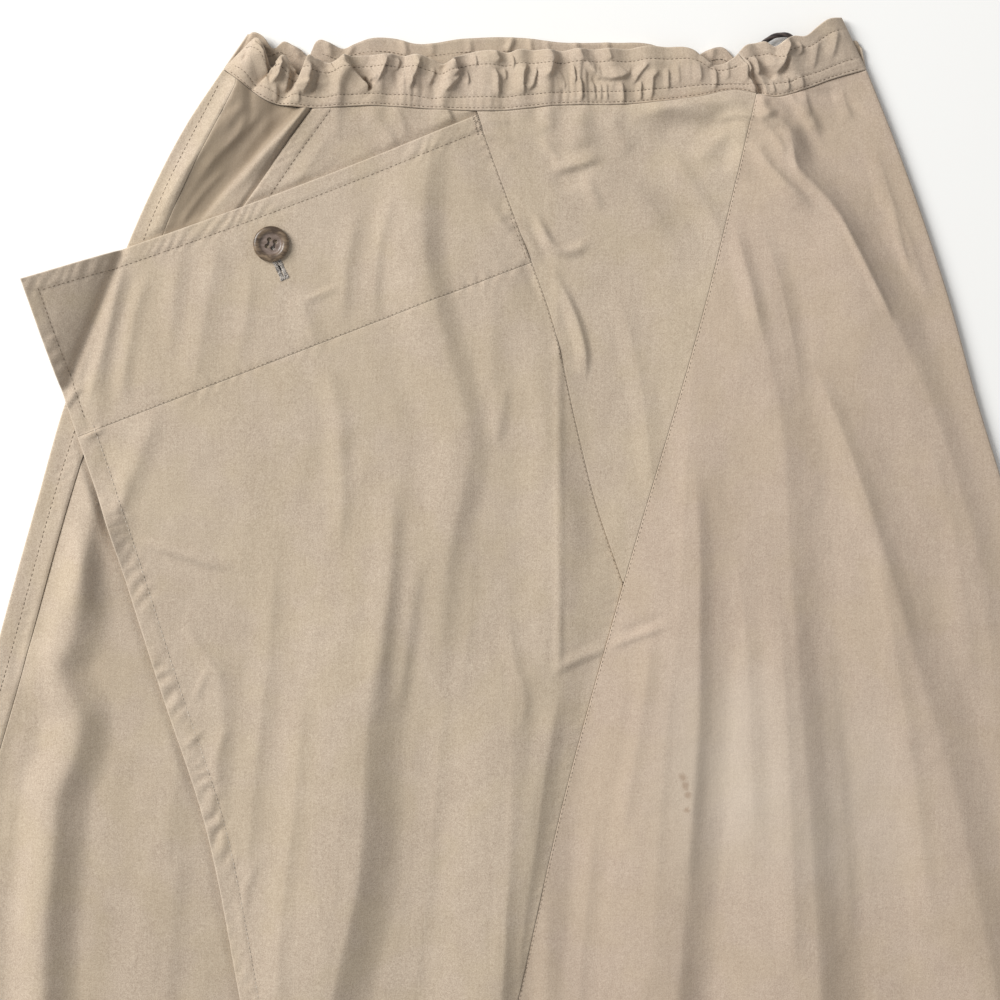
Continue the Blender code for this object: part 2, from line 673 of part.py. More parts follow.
def make_button(skirt):
    """Turned four-hole button with a raised rim and a dished middle, on the highest cloth under it."""
    profile = table(
        "radius z",
        (0, 0),
        (8.4, 0),
        (10.1, 0.8),
        (BUTTON_DIAMETER / 2, 1.7),
        (10.1, 2.7),
        (8.9, BUTTON_HEIGHT),
        (7.3, 3.2),
        (6.2, 2.3),
        (5.4, 1.9),
        (0, 1.8),
    )
    shape = bmesh.new()
    line = [shape.verts.new((r * MM, 0, z * MM)) for r, z in zip(profile["radius"], profile["z"])]
    edges = [shape.edges.new(pair) for pair in zip(line, line[1:])]
    bmesh.ops.spin(
        shape,
        geom=line + edges,
        cent=(0, 0, 0),
        axis=(0, 0, 1),
        angle=2 * math.pi,
        steps=BUTTON_SIDES,
        use_merge=True,
    )
    bmesh.ops.remove_doubles(shape, verts=shape.verts, dist=1e-6)
    bmesh.ops.recalc_face_normals(shape, faces=shape.faces)
    mesh = bpy.data.meshes.new("button")
    shape.to_mesh(mesh)
    shape.free()
    button = add_object("button", mesh, material("button", HORN_BROWN, 0.3), skirt)
    reach = BUTTON_DIAMETER / 2
    under_x = BUTTON_X + reach * np.array([0, 1, -1, 0, 0])
    under_y = BUTTON_Y + reach * np.array([0, 0, 0, 1, -1])
    button_z = FRONT_Z + LAYER + GAP + wrap_lift(under_x, under_y).max()
    button.location = (BUTTON_X * MM, BUTTON_Y * MM, button_z * MM)
    button.rotation_euler.z = BUTTON_TURN

    holes = bmesh.new()
    radius = THREAD_HOLE_RADIUS * MM
    for x in (-THREAD_HOLES_X / 2, THREAD_HOLES_X / 2):
        for y in (-THREAD_HOLES_Y / 2, THREAD_HOLES_Y / 2):
            place = mathutils.Matrix.Translation((x * MM, y * MM, BUTTON_HEIGHT / 2 * MM))
            bmesh.ops.create_cone(
                holes,
                cap_ends=True,
                segments=THREAD_HOLE_SIDES,
                radius1=radius,
                radius2=radius,
                depth=THREAD_HOLE_DEPTH * MM,
                matrix=place,
            )
    mesh = bpy.data.meshes.new("thread_holes")
    holes.to_mesh(mesh)
    holes.free()
    cutter = add_object("thread_holes", mesh, material("thread_holes", HORN_BROWN, 1), button)
    cutter.hide_render = True
    cutter.display_type = "WIRE"
    cut = button.modifiers.new("thread_holes", "BOOLEAN")
    cut.object = cutter


def make_loop(skirt):
    """Loop of dark cord, whose ends run in under the waistband."""
    route = table(
        "place x y",
        (0, 119.5, 22),
        (1, 120.5, 29),
        (2, 124, 36.5),
        (3, 132, 39.8),
        (4, 140, 38.5),
        (5, 143.5, 30),
        (6, 144, 22),
    )
    curve = bpy.data.curves.new("hanger_loop", "CURVE")
    curve.dimensions = "3D"
    curve.bevel_depth = LOOP_DIAMETER / 2 * MM
    curve.bevel_resolution = 2
    curve.use_fill_caps = True
    places = np.linspace(0, route["place"][-1], LOOP_POINTS)
    spline = curve.splines.new("POLY")
    spline.points.add(len(places) - 1)
    for point, place in zip(spline.points, places):
        x, y = (float(along(route, "place", axis, place)) for axis in "xy")
        point.co = (x * MM, y * MM, LOOP_Z * MM, 1)
    add_object("hanger_loop", curve, material("hanger_loop", CORD_BROWN, 0.7), skirt)


for startup in list(bpy.data.objects):
    bpy.data.objects.remove(startup)
skirt = bpy.data.objects.new("skirt", None)
bpy.context.scene.collection.objects.link(skirt)
apex_down = down_at(APEX_Y, long_seam)
body_rows = rows_down(apex_down)
make_back(skirt, body_rows)
make_front_right(skirt, body_rows)
make_inset(skirt, body_rows, apex_down)
make_front_left(skirt, apex_down)
make_pocket_side(skirt)
make_wrap(skirt)
make_waistband(skirt)
make_button(skirt)
make_loop(skirt)

# The row's origin is under the middle of the skirt.
corners = np.array([v.co for made in skirt.children if made.type == "MESH" for v in made.data.vertices])
middle = (corners.min(axis=0) + corners.max(axis=0)) / 2
skirt.location = (-middle[0], -middle[1], 0)
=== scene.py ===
"""An asymmetric A-line skirt in washed cotton, laid flat on its back on a pale table: a gathered elastic
waistband, a slant pocket, and a wrap panel that is sewn in along the front and buttoned over the hip.

Lengths are in millimetres and are turned to metres where a mesh is made. The drawing's zero is the middle of
the waist seam: x to the right, y towards the waist and z up from the table.
"""

import math

import bpy
import numpy as np
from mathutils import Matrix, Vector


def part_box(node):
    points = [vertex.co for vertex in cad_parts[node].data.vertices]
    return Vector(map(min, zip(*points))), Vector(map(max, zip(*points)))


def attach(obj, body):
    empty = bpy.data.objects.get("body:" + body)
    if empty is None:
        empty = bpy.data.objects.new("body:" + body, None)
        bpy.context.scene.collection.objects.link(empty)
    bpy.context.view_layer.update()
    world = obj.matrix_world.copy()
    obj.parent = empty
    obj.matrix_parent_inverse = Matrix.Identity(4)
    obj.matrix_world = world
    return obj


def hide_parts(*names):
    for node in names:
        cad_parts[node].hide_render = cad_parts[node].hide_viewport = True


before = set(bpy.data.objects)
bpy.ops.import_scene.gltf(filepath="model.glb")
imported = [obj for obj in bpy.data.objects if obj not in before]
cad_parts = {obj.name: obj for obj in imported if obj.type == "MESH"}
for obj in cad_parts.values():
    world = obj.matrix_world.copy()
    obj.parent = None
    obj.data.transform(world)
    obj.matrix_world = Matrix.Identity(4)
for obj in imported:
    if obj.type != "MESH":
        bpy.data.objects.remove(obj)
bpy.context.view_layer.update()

# ---------------------------------------------------------------------------------------------------------
# The table, the light and the camera. The skirt lies on a smooth white table. A wide soft lamp stands at its
# upper left, and white walls fill the shadows. The camera looks straight down, as far up as shows the waist.

MM = 0.001
BUTTON_X, BUTTON_Y = -162.4, -80.6  # the button's middle in the drawing, by which the frame is found
VIEW_X, VIEW_Y = -29.6, -229.1  # the middle of the picture
VIEW_WIDTH = 580
LENS, SENSOR = 100, 36
CLOTH_TOP = 8  # a usual height of the front, on which the view is 580 mm wide
TABLE_SIZE = 9  # metres
TABLE_DROP = 0.0004
LAMP_SIZE = (1.75, 2.6)
LAMP_DISTANCE, LAMP_ELEVATION, LAMP_BEARING = 4.0, math.radians(37), math.radians(151)
LAMP_WATTS = 192
WALLS = 0.38  # brightness of the white walls and ceiling

button_low, button_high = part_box("button")
button_middle = np.array([button_low.x + button_high.x, button_low.y + button_high.y, 0]) / 2
ORIGIN = button_middle - (BUTTON_X * MM, BUTTON_Y * MM, 0)


def in_frame(points):
    """Drawing places in millimetres as the frame's in metres."""
    return np.asarray(points, float) * MM + ORIGIN


def linear(hex_colour):
    """An sRGB hex colour as linear red, green, blue and alpha."""
    parts = [int(hex_colour[i : i + 2], 16) / 255 for i in (1, 3, 5)]
    return (*(p / 12.92 if p <= 0.04045 else ((p + 0.055) / 1.055) ** 2.4 for p in parts), 1)


def add_node(tree, kind, settings=None, inputs=None):
    """Adds a shader node with its settings, and with each input set or linked."""
    node = tree.nodes.new("ShaderNode" + kind)
    for name, value in (settings or {}).items():
        setattr(node, name, value)
    for name, value in (inputs or {}).items():
        if isinstance(value, bpy.types.NodeSocket):
            tree.links.new(value, node.inputs[name])
        else:
            node.inputs[name].default_value = value
    return node


def new_material(name):
    """An empty material: its tree and its shader."""
    made = bpy.data.materials.new(name)
    made.use_nodes = True
    return made, made.node_tree, made.node_tree.nodes["Principled BSDF"]


def make_table():
    # Painted board: white and matt, with the faintest unevenness of a rolled coat.
    finish, tree, shader = new_material("white_painted_board")
    place = add_node(tree, "TexCoord")
    coat = add_node(tree, "TexNoise", inputs={"Vector": place.outputs["Object"], "Scale": 2.5, "Detail": 2})
    tones = {0: coat.outputs["Fac"], 6: linear("#F6F6F4"), 7: linear("#FAFAF9")}
    tint = add_node(tree, "Mix", {"data_type": "RGBA"}, tones)
    tree.links.new(tint.outputs[2], shader.inputs["Base Color"])
    shader.inputs["Roughness"].default_value = 0.8
    bpy.ops.mesh.primitive_plane_add(size=TABLE_SIZE, location=(0, 0, -TABLE_DROP))
    board = bpy.context.object
    board.name = "table"
    board.data.materials.append(finish)


def make_light():
    scene = bpy.context.scene
    middle = in_frame((VIEW_X, VIEW_Y, 0))
    level = math.cos(LAMP_ELEVATION)
    bearing = (level * math.cos(LAMP_BEARING), level * math.sin(LAMP_BEARING))
    towards = np.array([*bearing, math.sin(LAMP_ELEVATION)])
    lamp = bpy.data.lights.new("lamp", "AREA")
    lamp.shape = "RECTANGLE"
    lamp.size, lamp.size_y = LAMP_SIZE
    lamp.energy = LAMP_WATTS
    lamp.color = (1.0, 0.985, 0.96)
    holder = bpy.data.objects.new("lamp", lamp)
    holder.location = middle + towards * LAMP_DISTANCE
    holder.rotation_euler = (math.pi / 2 - LAMP_ELEVATION, 0, LAMP_BEARING + math.pi / 2)
    scene.collection.objects.link(holder)
    world = bpy.data.worlds.new("white_walls")
    world.use_nodes = True
    walls = world.node_tree.nodes["Background"]
    walls.inputs["Color"].default_value = (0.98, 0.99, 1.0, 1)
    walls.inputs["Strength"].default_value = WALLS
    scene.world = world
    scene.view_settings.view_transform = "Standard"


def make_camera():
    view = bpy.data.cameras.new("camera")
    view.lens, view.sensor_width = LENS, SENSOR
    view.clip_end = 20
    camera = bpy.data.objects.new("camera", view)
    camera.location = in_frame((VIEW_X, VIEW_Y, CLOTH_TOP + VIEW_WIDTH * LENS / SENSOR))
    bpy.context.scene.collection.objects.link(camera)
    bpy.context.scene.camera = camera


bpy.ops.object.select_all(action="DESELECT")
make_table()
make_light()
make_camera()

# ---------------------------------------------------------------------------------------------------------
# The back: one panel of washed cotton poplin, cut to lie under the whole skirt. It wraps the left fold as far
# as the side seam on the front, where it is felled: the topstitch runs a finger's breadth from the seam.

CLOTH = 1.2  # wall of one layer
LEAST_CLOTH = 0.5  # where a crease goes down into it
LAYER = 1.5  # what a piece rises by when it lies on another
SEAM_GAP = 0.12  # between two pieces that are sewn together
FOLD_RADIUS = 2.4  # of the folded edge at each side, outside, up and down
FOLD_ACROSS = 1.2  # and across, since the fold is pressed
FRONT_Z = 2 * FOLD_RADIUS
LENGTH = 809  # waist seam to hem, down the middle
HEM_RISE, HEM_RISE_POWER = 52, 1.3
WAIST_FADE = 12  # power by which the waist seam's own line dies out down the skirt
SIDE_CALM, RIGHT_CALM = 14, 26  # from a side fold, the distance over which the front's folds come up
UNDER_SEAM = 30  # right side seam, in from the fold on the underside
JOINT_X = 120  # where the long seam meets the waist seam
SOLVER_ROUNDS = 30
IN_VIEW = 540  # down to here the picture shows the skirt
FELL = 9.3  # from a felled seam to its topstitch
HEM = 18  # depth of the turned-up hem
HEM_THICKER, HEM_LINE = 0.35, 0.4  # its extra thickness, and the depth of its row of stitches
FINE = 1.75  # between points of the cloth in view
WIDE = 3.2  # and below the picture
KEPT = 4  # the inside of a wall has every fourth line of points of the outside

EDGE = np.array([0, 0.25, 0.55, 0.9, 1.5])  # lines of points this far inside each edge
EDGE_ROUND, EDGE_DROP = 0.9, 0.62  # the edge rounds over this width, by this much
FREE, SEWN = 1, 0.35  # shares of that, on a free edge and at a seam


def table(columns, *rows):
    """A short table as named columns."""
    return dict(zip(columns.split(), np.array(rows, float).T))


def along(rows, by, value, at):
    """One column of a table at places along another, on a smooth curve through its rows."""
    order = np.argsort(rows[by])
    x, y = rows[by][order], rows[value][order]
    width = np.diff(x)
    step = np.diff(y) / width
    inner = (step[:-1] * width[1:] + step[1:] * width[:-1]) / (width[1:] + width[:-1])
    slope = np.concatenate([step[:1], inner, step[-1:]])
    at = np.clip(at, x[0], x[-1])
    k = np.clip(np.searchsorted(x, at) - 1, 0, len(width) - 1)
    u = (at - x[k]) / width[k]
    start = (1 + 2 * u) * (1 - u) ** 2 * y[k] + u * (1 - u) ** 2 * width[k] * slope[k]
    return start + u**2 * (3 - 2 * u) * y[k + 1] - u**2 * (1 - u) * width[k] * slope[k + 1]


def ease(u):
    """0 below 0, 1 above 1, and smooth between."""
    u = np.clip(u, 0, 1)
    return u * u * (3 - 2 * u)


OUTLINE = table(
    "y left right",
    (21, -191, 184), (-9, -211, 196), (-55, -235, 213), (-113, -259, 232), (-171, -282, 248),
    (-230, -299, 266), (-300, -318.5, 284.5), (-432, -351.5, 318.5), (-519, -375, 340.5), (-758, -430, 393),
)
WAIST_LEFT = table(
    "x y",
    (-191, 21.5), (-184, 16.5), (-176, 10), (-166, 3.2), (-146, -1), (-105, 0), (-64, -2.3), (-30, -3),
    (5, 0.2), (45, 0.8), (86, 5), (108, 9), (119, 7.2),
)
WAIST_RIGHT = table("x y", (121, 6.6), (128, 5), (148, 9.5), (163, 15), (184, 21))
WAIST_BACK = table("x y", (-191, 21.5), (-168, 8.5), (-120, 3), (0, 2), (120, 3), (162, 10), (184, 21))
SIDE_SEAM = table(
    "y x",
    (12, -183), (-55, -217), (-130, -246.5), (-204, -272), (-342, -311), (-490, -353), (-751, -407),
)


def waist_y(x, under=False):
    """The waist seam: the front's in its two parts, or the back's."""
    front = np.where(x < JOINT_X, along(WAIST_LEFT, "x", "y", x), along(WAIST_RIGHT, "x", "y", x))
    return np.where(under, along(WAIST_BACK, "x", "y", x), front)


def plan(across, down, seam=WAIST_LEFT, under=False):
    """Where a point of the flat skirt lies: across runs 0 to 1 from fold to fold, down 0 to 1 from waist to
    hem. seam is the front's stretch of the waist seam."""
    waist = (1 - down) ** WAIST_FADE
    rise = HEM_RISE * down**HEM_RISE_POWER
    side = -LENGTH * down + rise + WAIST_LEFT["y"][0] * waist
    left, right = (along(OUTLINE, "y", edge, side) for edge in ("left", "right"))
    x = left + (right - left) * across
    top = np.where(under, along(WAIST_BACK, "x", "y", x), along(seam, "x", "y", x))
    y = -LENGTH * down + rise * (2 * across - 1) ** 2 + top * waist
    return x, y, left, right


def across_at(path, down, shift=0.0, seam=WAIST_LEFT):
    """How far across the skirt a path lies, at each place down it."""
    across = np.full(np.shape(down), 0.5)
    for _ in range(SOLVER_ROUNDS):
        x, y, left, right = plan(across, down, seam)
        across = across + (path(y) + shift - x) / (right - left)
    return across


def side_seam(y):
    return along(SIDE_SEAM, "y", "x", y)


def beside(path, x, y):
    """How far a place lies to the right of a path down the skirt."""
    slope = (path(y + 1) - path(y - 1)) / 2
    return (x - path(y)) / np.sqrt(1 + slope**2)


def side_calm(x, y):
    """0 at the side folds, and 1 where the front's own folds are full."""
    left = x - along(OUTLINE, "y", "left", y)
    right = along(OUTLINE, "y", "right", y) - x
    return ease((left - FOLD_RADIUS) / SIDE_CALM) * ease((right - FOLD_RADIUS) / RIGHT_CALM)


def crumple(x, y, across, down, seed):
    """Smooth uneven relief from about -1 to 1, in lumps of that width and length."""
    lattice = np.random.default_rng(seed).uniform(-1.6, 1.6, (97, 89))
    u, v = np.asarray(x, float) / across, np.asarray(y, float) / down
    i, j = np.floor(u).astype(int), np.floor(v).astype(int)
    u, v = u - i, v - j

    def weights(t):
        middle = (3 * t**3 - 6 * t**2 + 4) / 6, (-3 * t**3 + 3 * t**2 + 3 * t + 1) / 6
        return (1 - t) ** 3 / 6, *middle, t**3 / 6

    total = 0
    for m, across_weight in enumerate(weights(u)):
        for n, down_weight in enumerate(weights(v)):
            total = total + across_weight * down_weight * lattice[(i + m) % 97, (j + n) % 89]
    return total


def washed(x, y):
    """The crinkles that washing leaves, longer down the grain than across it. They run on over the seams."""
    bent_x = x + 5 * crumple(x, y, 22, 30, 41)
    bent_y = y + 6 * crumple(x, y, 26, 22, 42)
    broad = 0.3 * crumple(bent_x, bent_y, 15, 34, 1)
    small = 0.13 * crumple(bent_x, bent_y, 6, 10, 2)
    tiny = 0.05 * crumple(bent_x, bent_y, 3.4, 5, 4)
    ridge = 0.2 * np.abs(crumple(bent_x, bent_y, 11, 19, 3))
    return broad + small + tiny - ridge


def crease(left, right, height, *points):
    """A crease along listed points (x, y). Where it runs down the picture it fades over `left` on its
    left side and over `right` on its right. A height below 0 is a trough."""
    points = np.array(points, float)
    run = np.concatenate([[0], np.cumsum(np.hypot(*np.diff(points, axis=0).T))])
    places = np.linspace(0, run[-1], max(4, int(run[-1] / 5)))
    rows = {"run": run, "x": points[:, 0], "y": points[:, 1]}
    path = np.stack([along(rows, "run", axis, places) for axis in "xy"], axis=-1)
    end = min(0.3, 3 * max(left, right) / run[-1])
    return {"left": left, "right": right, "height": height, "path": path, "run": places / run[-1], "end": end}


def creases(*rows):
    """Creases from rows of left, right, height and points."""
    return [crease(*row) for row in rows]


def crease_height(x, y, shape):
    """Height of one crease: a ridge drops off sharply on its right, and all die out at both their ends."""
    path, reach = shape["path"], max(shape["left"], shape["right"])
    low, high = path.min(axis=0) - reach, path.max(axis=0) + reach
    near = (x > low[0]) & (x < high[0]) & (y > low[1]) & (y < high[1])
    height = np.zeros(np.shape(x))
    if not near.any():
        return height
    place = np.stack([x[near], y[near]], axis=-1)[:, None]
    step = np.diff(path, axis=0)
    long = (step**2).sum(axis=1)
    t = np.clip(((place - path[:-1]) * step).sum(axis=2) / long, 0, 1)
    off = place - path[:-1] - t[..., None] * step
    nearest = (off**2).sum(axis=2).argmin(axis=1)
    row = np.arange(len(nearest))
    off, t, step = off[row, nearest], t[row, nearest], step[nearest]
    side = step[:, 0] * off[:, 1] - step[:, 1] * off[:, 0]
    width = np.where(side < 0, shape["left"], shape["right"])
    share = shape["run"][nearest] + t * np.diff(shape["run"])[nearest]
    fade = ease(share / shape["end"]) * ease((1 - share) / shape["end"])
    away = np.clip(np.hypot(*off.T) / width, 0, 1)
    steep = (1 - away) ** 2 * (1 + 0.6 * away)
    soft = (1 - away**2) ** 2
    rising = 0.7 * soft + 0.3 * (1 - away) ** 2
    bell = np.where(side > 0, steep, rising) if shape["height"] > 0 else soft
    height[near] = shape["height"] * fade * bell
    return height


def creases_height(x, y, shapes):
    return sum(crease_height(x, y, shape) for shape in shapes)


def puckers(distance, run, reach, size, seed, slant=0.6):
    """Little ridges that cross a line of stitches at a slant. run is the place along the line."""
    phase = (run + slant * distance) / size + 1.1 * crumple(run, distance, 2.6 * size, 40, seed)
    phase = phase + 0.4 * crumple(run, distance, 0.9 * size, 9, seed + 2)
    strength = 0.5 + 1.1 * crumple(run, distance, 13, 9, seed + 1)
    wave = 1.6 * np.abs(np.sin(math.pi * phase)) - 1
    return wave * np.clip(strength, 0.1, 1.3) * np.exp(-((distance / reach) ** 2))


def groove(distance, width=0.9):
    """The line that a row of stitches pulls into the cloth."""
    return -np.exp(-((distance / width) ** 2))


def spaced(start, end, step):
    """Places from start to end: close together at both edges, and even between."""
    count = max(3, round((end - start - 2 * EDGE[-1]) / step) + 1)
    middle = np.linspace(start + EDGE[-1], end - EDGE[-1], count)
    return np.concatenate([start + EDGE[:-1], middle, end - EDGE[-2::-1]])


def columns_between(start, end, width, count):
    """Places across each row, close together at both edges. start and end are shares of width."""
    small = np.minimum(1, (end - start) * width / 8) / width
    edge = EDGE * small[:, None]
    share = np.linspace(0, 1, count)
    start, end = start[:, None], end[:, None]
    first, last = start + edge[:, -1:], end - edge[:, -1:]
    middle = first + (last - first) * share
    return np.concatenate([start + edge[:, :-1], middle, end - edge[:, -2::-1]], axis=1)


def edge_drop(rows, columns, top=FREE, bottom=FREE, left=FREE, right=FREE):
    """How much each point of a grid is lowered, so that the piece's edges are round: by less where it is sewn
    to the next piece."""
    inside = 1 - np.clip(EDGE / EDGE_ROUND, 0, 1)
    drop = EDGE_DROP * (1 - np.sqrt(1 - inside**2))
    down, across = np.zeros(rows), np.zeros(columns)
    down[: len(EDGE)], across[: len(EDGE)] = top * drop, left * drop
    down[-len(EDGE) :], across[-len(EDGE) :] = bottom * drop[::-1], right * drop[::-1]
    return np.maximum(down[:, None], across)


def kept_lines(count, every=KEPT):
    """The lines of points that the inside of a wall has too."""
    first, last = len(EDGE) - 1, count - len(EDGE)
    return np.unique(np.concatenate([[0], np.arange(first, last, every), [last, count - 1]]))


def add_piece(name, points, faces, finish, attributes=None):
    """A mesh object from drawing points, smooth, with its finish and its attributes."""
    mesh = bpy.data.meshes.new(name)
    mesh.from_pydata(in_frame(points).tolist(), [], faces)
    mesh.shade_smooth()
    mesh.materials.append(finish)
    for key, values in (attributes or {}).items():
        every = np.zeros(len(points), np.float32)
        every[: np.size(values)] = np.ravel(values)
        mesh.attributes.new(key, "FLOAT", "POINT").data.foreach_set("value", every)
    piece = bpy.data.objects.new(name, mesh)
    bpy.context.scene.collection.objects.link(piece)
    return piece


def cloth_shell(name, outer, inner, kept_rows, kept_columns, finish, attributes=None):
    """A closed wall: a fine grid outside, a coarse one inside on the kept lines, and a rim between them. Seen
    from outside, rows run down and columns right."""
    rows, columns = outer.shape[:2]
    number = np.arange(rows * columns).reshape(rows, columns)
    under = rows * columns + np.arange(inner.shape[0] * inner.shape[1]).reshape(inner.shape[:2])

    def cells(grid):
        corners = (grid[:-1, :-1], grid[1:, :-1], grid[1:, 1:], grid[:-1, 1:])
        return np.stack(corners, axis=-1).reshape(-1, 4)

    faces = cells(number).tolist() + cells(under)[:, ::-1].tolist()
    sides = (
        (number[:, 0], under[:, 0], kept_rows),
        (number[-1], under[-1], kept_columns),
        (number[::-1, -1], under[::-1, -1], rows - 1 - kept_rows[::-1]),
        (number[0, ::-1], under[0, ::-1], columns - 1 - kept_columns[::-1]),
    )
    for line, below, kept in sides:
        for k in range(len(kept) - 1):
            stretch = line[kept[k] : kept[k + 1] + 1]
            faces.append([*stretch[::-1].tolist(), int(below[k]), int(below[k + 1])])
    points = np.concatenate([outer.reshape(-1, 3), inner.reshape(-1, 3)])
    return add_piece(name, points, faces, finish, attributes)


def tube(round_, down, relief, seam=WAIST_LEFT):
    """Outer points of the skirt's tube, and the way out of its wall. round_ is 0 to 1 across the front, and
    goes on past both folds to the underside."""
    under = (round_ < 0) | (round_ > 1)
    across = np.where(round_ < 0, -round_, np.where(round_ > 1, 2 - round_, round_))
    x, y, left, right = plan(across, down, seam, under)
    near = np.where(across < 0.5, x - left, right - x)
    turn = np.arccos(1 - np.clip(near / FOLD_ACROSS, 0, 1))
    out = np.where(across < 0.5, -1, 1) * np.cos(turn)
    up = np.where(under, -1, 1) * np.sin(turn)
    calm = side_calm(x, y)
    raised = np.where(under, hollows(x, y), relief(x, y)) * calm
    return np.stack([x, y, FOLD_RADIUS * (1 + up) + raised], axis=-1), np.stack([out, 0 * out, up], axis=-1)


def hem_relief(above, x, facing):
    """The turned-up hem: a little thicker as far as its row of stitches, and drawn in along it. The underside
    lies on the table, so there only the stitches' line shows. facing is 1 up and -1 down."""
    line = groove(above - HEM)
    over = HEM_THICKER * ease((HEM + 1 - above) / 2) + 0.25 * line + 0.4 * puckers(above - HEM, x, 9, 9, 15)
    return np.where(facing > 0, over * facing, HEM_LINE * line * facing)


def lowest_about(heights):
    """The lowest of a grid's heights within a kept line's reach of each point."""
    for axis in (0, 1):
        wide = np.pad(heights, [(KEPT, KEPT) if axis == k else (0, 0) for k in (0, 1)], mode="edge")
        count = heights.shape[axis]
        heights = np.min([np.take(wide, range(k, k + count), axis) for k in range(2 * KEPT + 1)], axis=0)
    return heights


def tube_piece(name, across, down, relief, form, finish, seam=WAIST_LEFT, attributes=None, edges=None):
    """A piece of the tube: relief is its full height over the flat front, form its large folds alone."""
    outer, way_out = tube(across, down[:, None], relief, seam)
    outer[..., 2] += hem_relief((1 - down[:, None]) * LENGTH, outer[..., 0], way_out[..., 2])
    drop = edge_drop(*across.shape, **(edges or {}))
    outer = outer - drop[..., None] * way_out
    rows, columns = kept_lines(len(down)), kept_lines(across.shape[1])
    least = lowest_about(outer[..., 2])[np.ix_(rows, columns)] - LEAST_CLOTH
    broad, way_out = tube(across[np.ix_(rows, columns)], down[rows][:, None], form, seam)
    inner = broad - CLOTH * way_out
    inner[..., 2] = np.where(way_out[..., 2] > 0.95, np.minimum(inner[..., 2], least), inner[..., 2])
    worn = {"wear": drop / EDGE_DROP, **{key: value(outer) for key, value in (attributes or {}).items()}}
    return cloth_shell(name, outer, inner, rows, columns, finish, worn)


def body_rows(end=1.0, start=0.0):
    """Places down the skirt: fine as far as the picture goes, and wider below."""
    top, bottom = start * LENGTH, end * LENGTH
    if bottom <= IN_VIEW:
        return spaced(top, bottom, FINE) / LENGTH
    seen = spaced(top, IN_VIEW + EDGE[-1], FINE)[: -len(EDGE) + 1]
    rest = spaced(IN_VIEW, bottom, WIDE)[len(EDGE) :]
    return np.concatenate([seen, rest]) / LENGTH


def fold_turn(down):
    """Columns that turn round a side fold, from the flat cloth to the outermost, as distances inside it."""
    inside = FOLD_ACROSS * (1 - np.cos(np.radians([90, 70, 50, 30, 12])))
    left, right = plan(np.zeros_like(down), down)[2:]
    return inside / (right - left)[:, None]


def fold(rise, fall, *rows):
    """A fold down the skirt: left of its crest it rises over `rise`, right of it it drops over `fall`."""
    return {"rise": rise, "fall": fall, "crest": table("y x height", *rows)}


DROP_ROUNDING, CREST_ROUNDING = 0.6, 2.5
FOLDS = {
    "under_left": fold(
        24, 19, (-225, -258, 0), (-252, -262.5, 7), (-281, -270, 7.5), (-310, -279, 7), (-325, -285, 7),
        (-357, -274, 8), (-377, -277, 8), (-397, -285, 8), (-432, -289, 9), (-490, -294, 9), (-519, -294, 9),
        (-790, -312, 10),
    ),
    "under_middle": fold(45, 26, (-560, -215, 0), (-650, -222, 5), (-795, -232, 9)),
    "wrap_main": fold(
        70, 24, (-200, -89, 0), (-252, -92, 3), (-357, -107, 7), (-450, -113, 9), (-519, -128, 8),
        (-600, -140, 0),
    ),
    "wrap_top": fold(
        30, 13, (-9, -66, 0), (-44, -73.5, 3), (-75, -75, 4), (-154, -58, 3), (-188, -49, 3), (-264, -61, 3),
        (-357, -67, 0),
    ),
    "wrap_crease": fold(26, 18, (-115, 3, 0), (-171, 3, 2), (-287, 5, 2.2), (-357, -4, 0)),
    "centre": fold(48, 20, (-310, -23, 0), (-391, -24, 5), (-473, -27, 6), (-519, -30, 7), (-809, -47, 11)),
    "centre_right": fold(22, 22, (-339, 5, 0), (-403, -6, 2.5), (-478, -3, 3), (-519, -3, 3), (-809, 10, 4)),
    "right_first": fold(
        70, 20, (-188, 85, 0), (-258, 85, 3), (-380, 83, 4), (-473, 76, 5.5), (-519, 72, 6.5), (-809, 60, 10)
    ),
    "right_main": fold(
        76, 26, (-49, 99, 0), (-90, 110, 3), (-171, 130, 5), (-275, 138, 5.5), (-391, 147, 7.5),
        (-519, 155, 8), (-806, 173, 12),
    ),
    "right_second": fold(
        55, 24, (-130, 143, 0), (-203, 173, 4), (-287, 198, 4.5), (-380, 228, 4.5), (-490, 252, 5),
        (-786, 300, 8)
    ),
    "hip": fold(
        80, 20, (6, 121, 1), (-13, 137, 3.4), (-35, 141.5, 4.2), (-60, 163.5, 4.2), (-87, 178, 4.5),
        (-125, 197, 4.5), (-165, 216, 3.5), (-252, 244, 3), (-340, 262, 0),
    ),
}
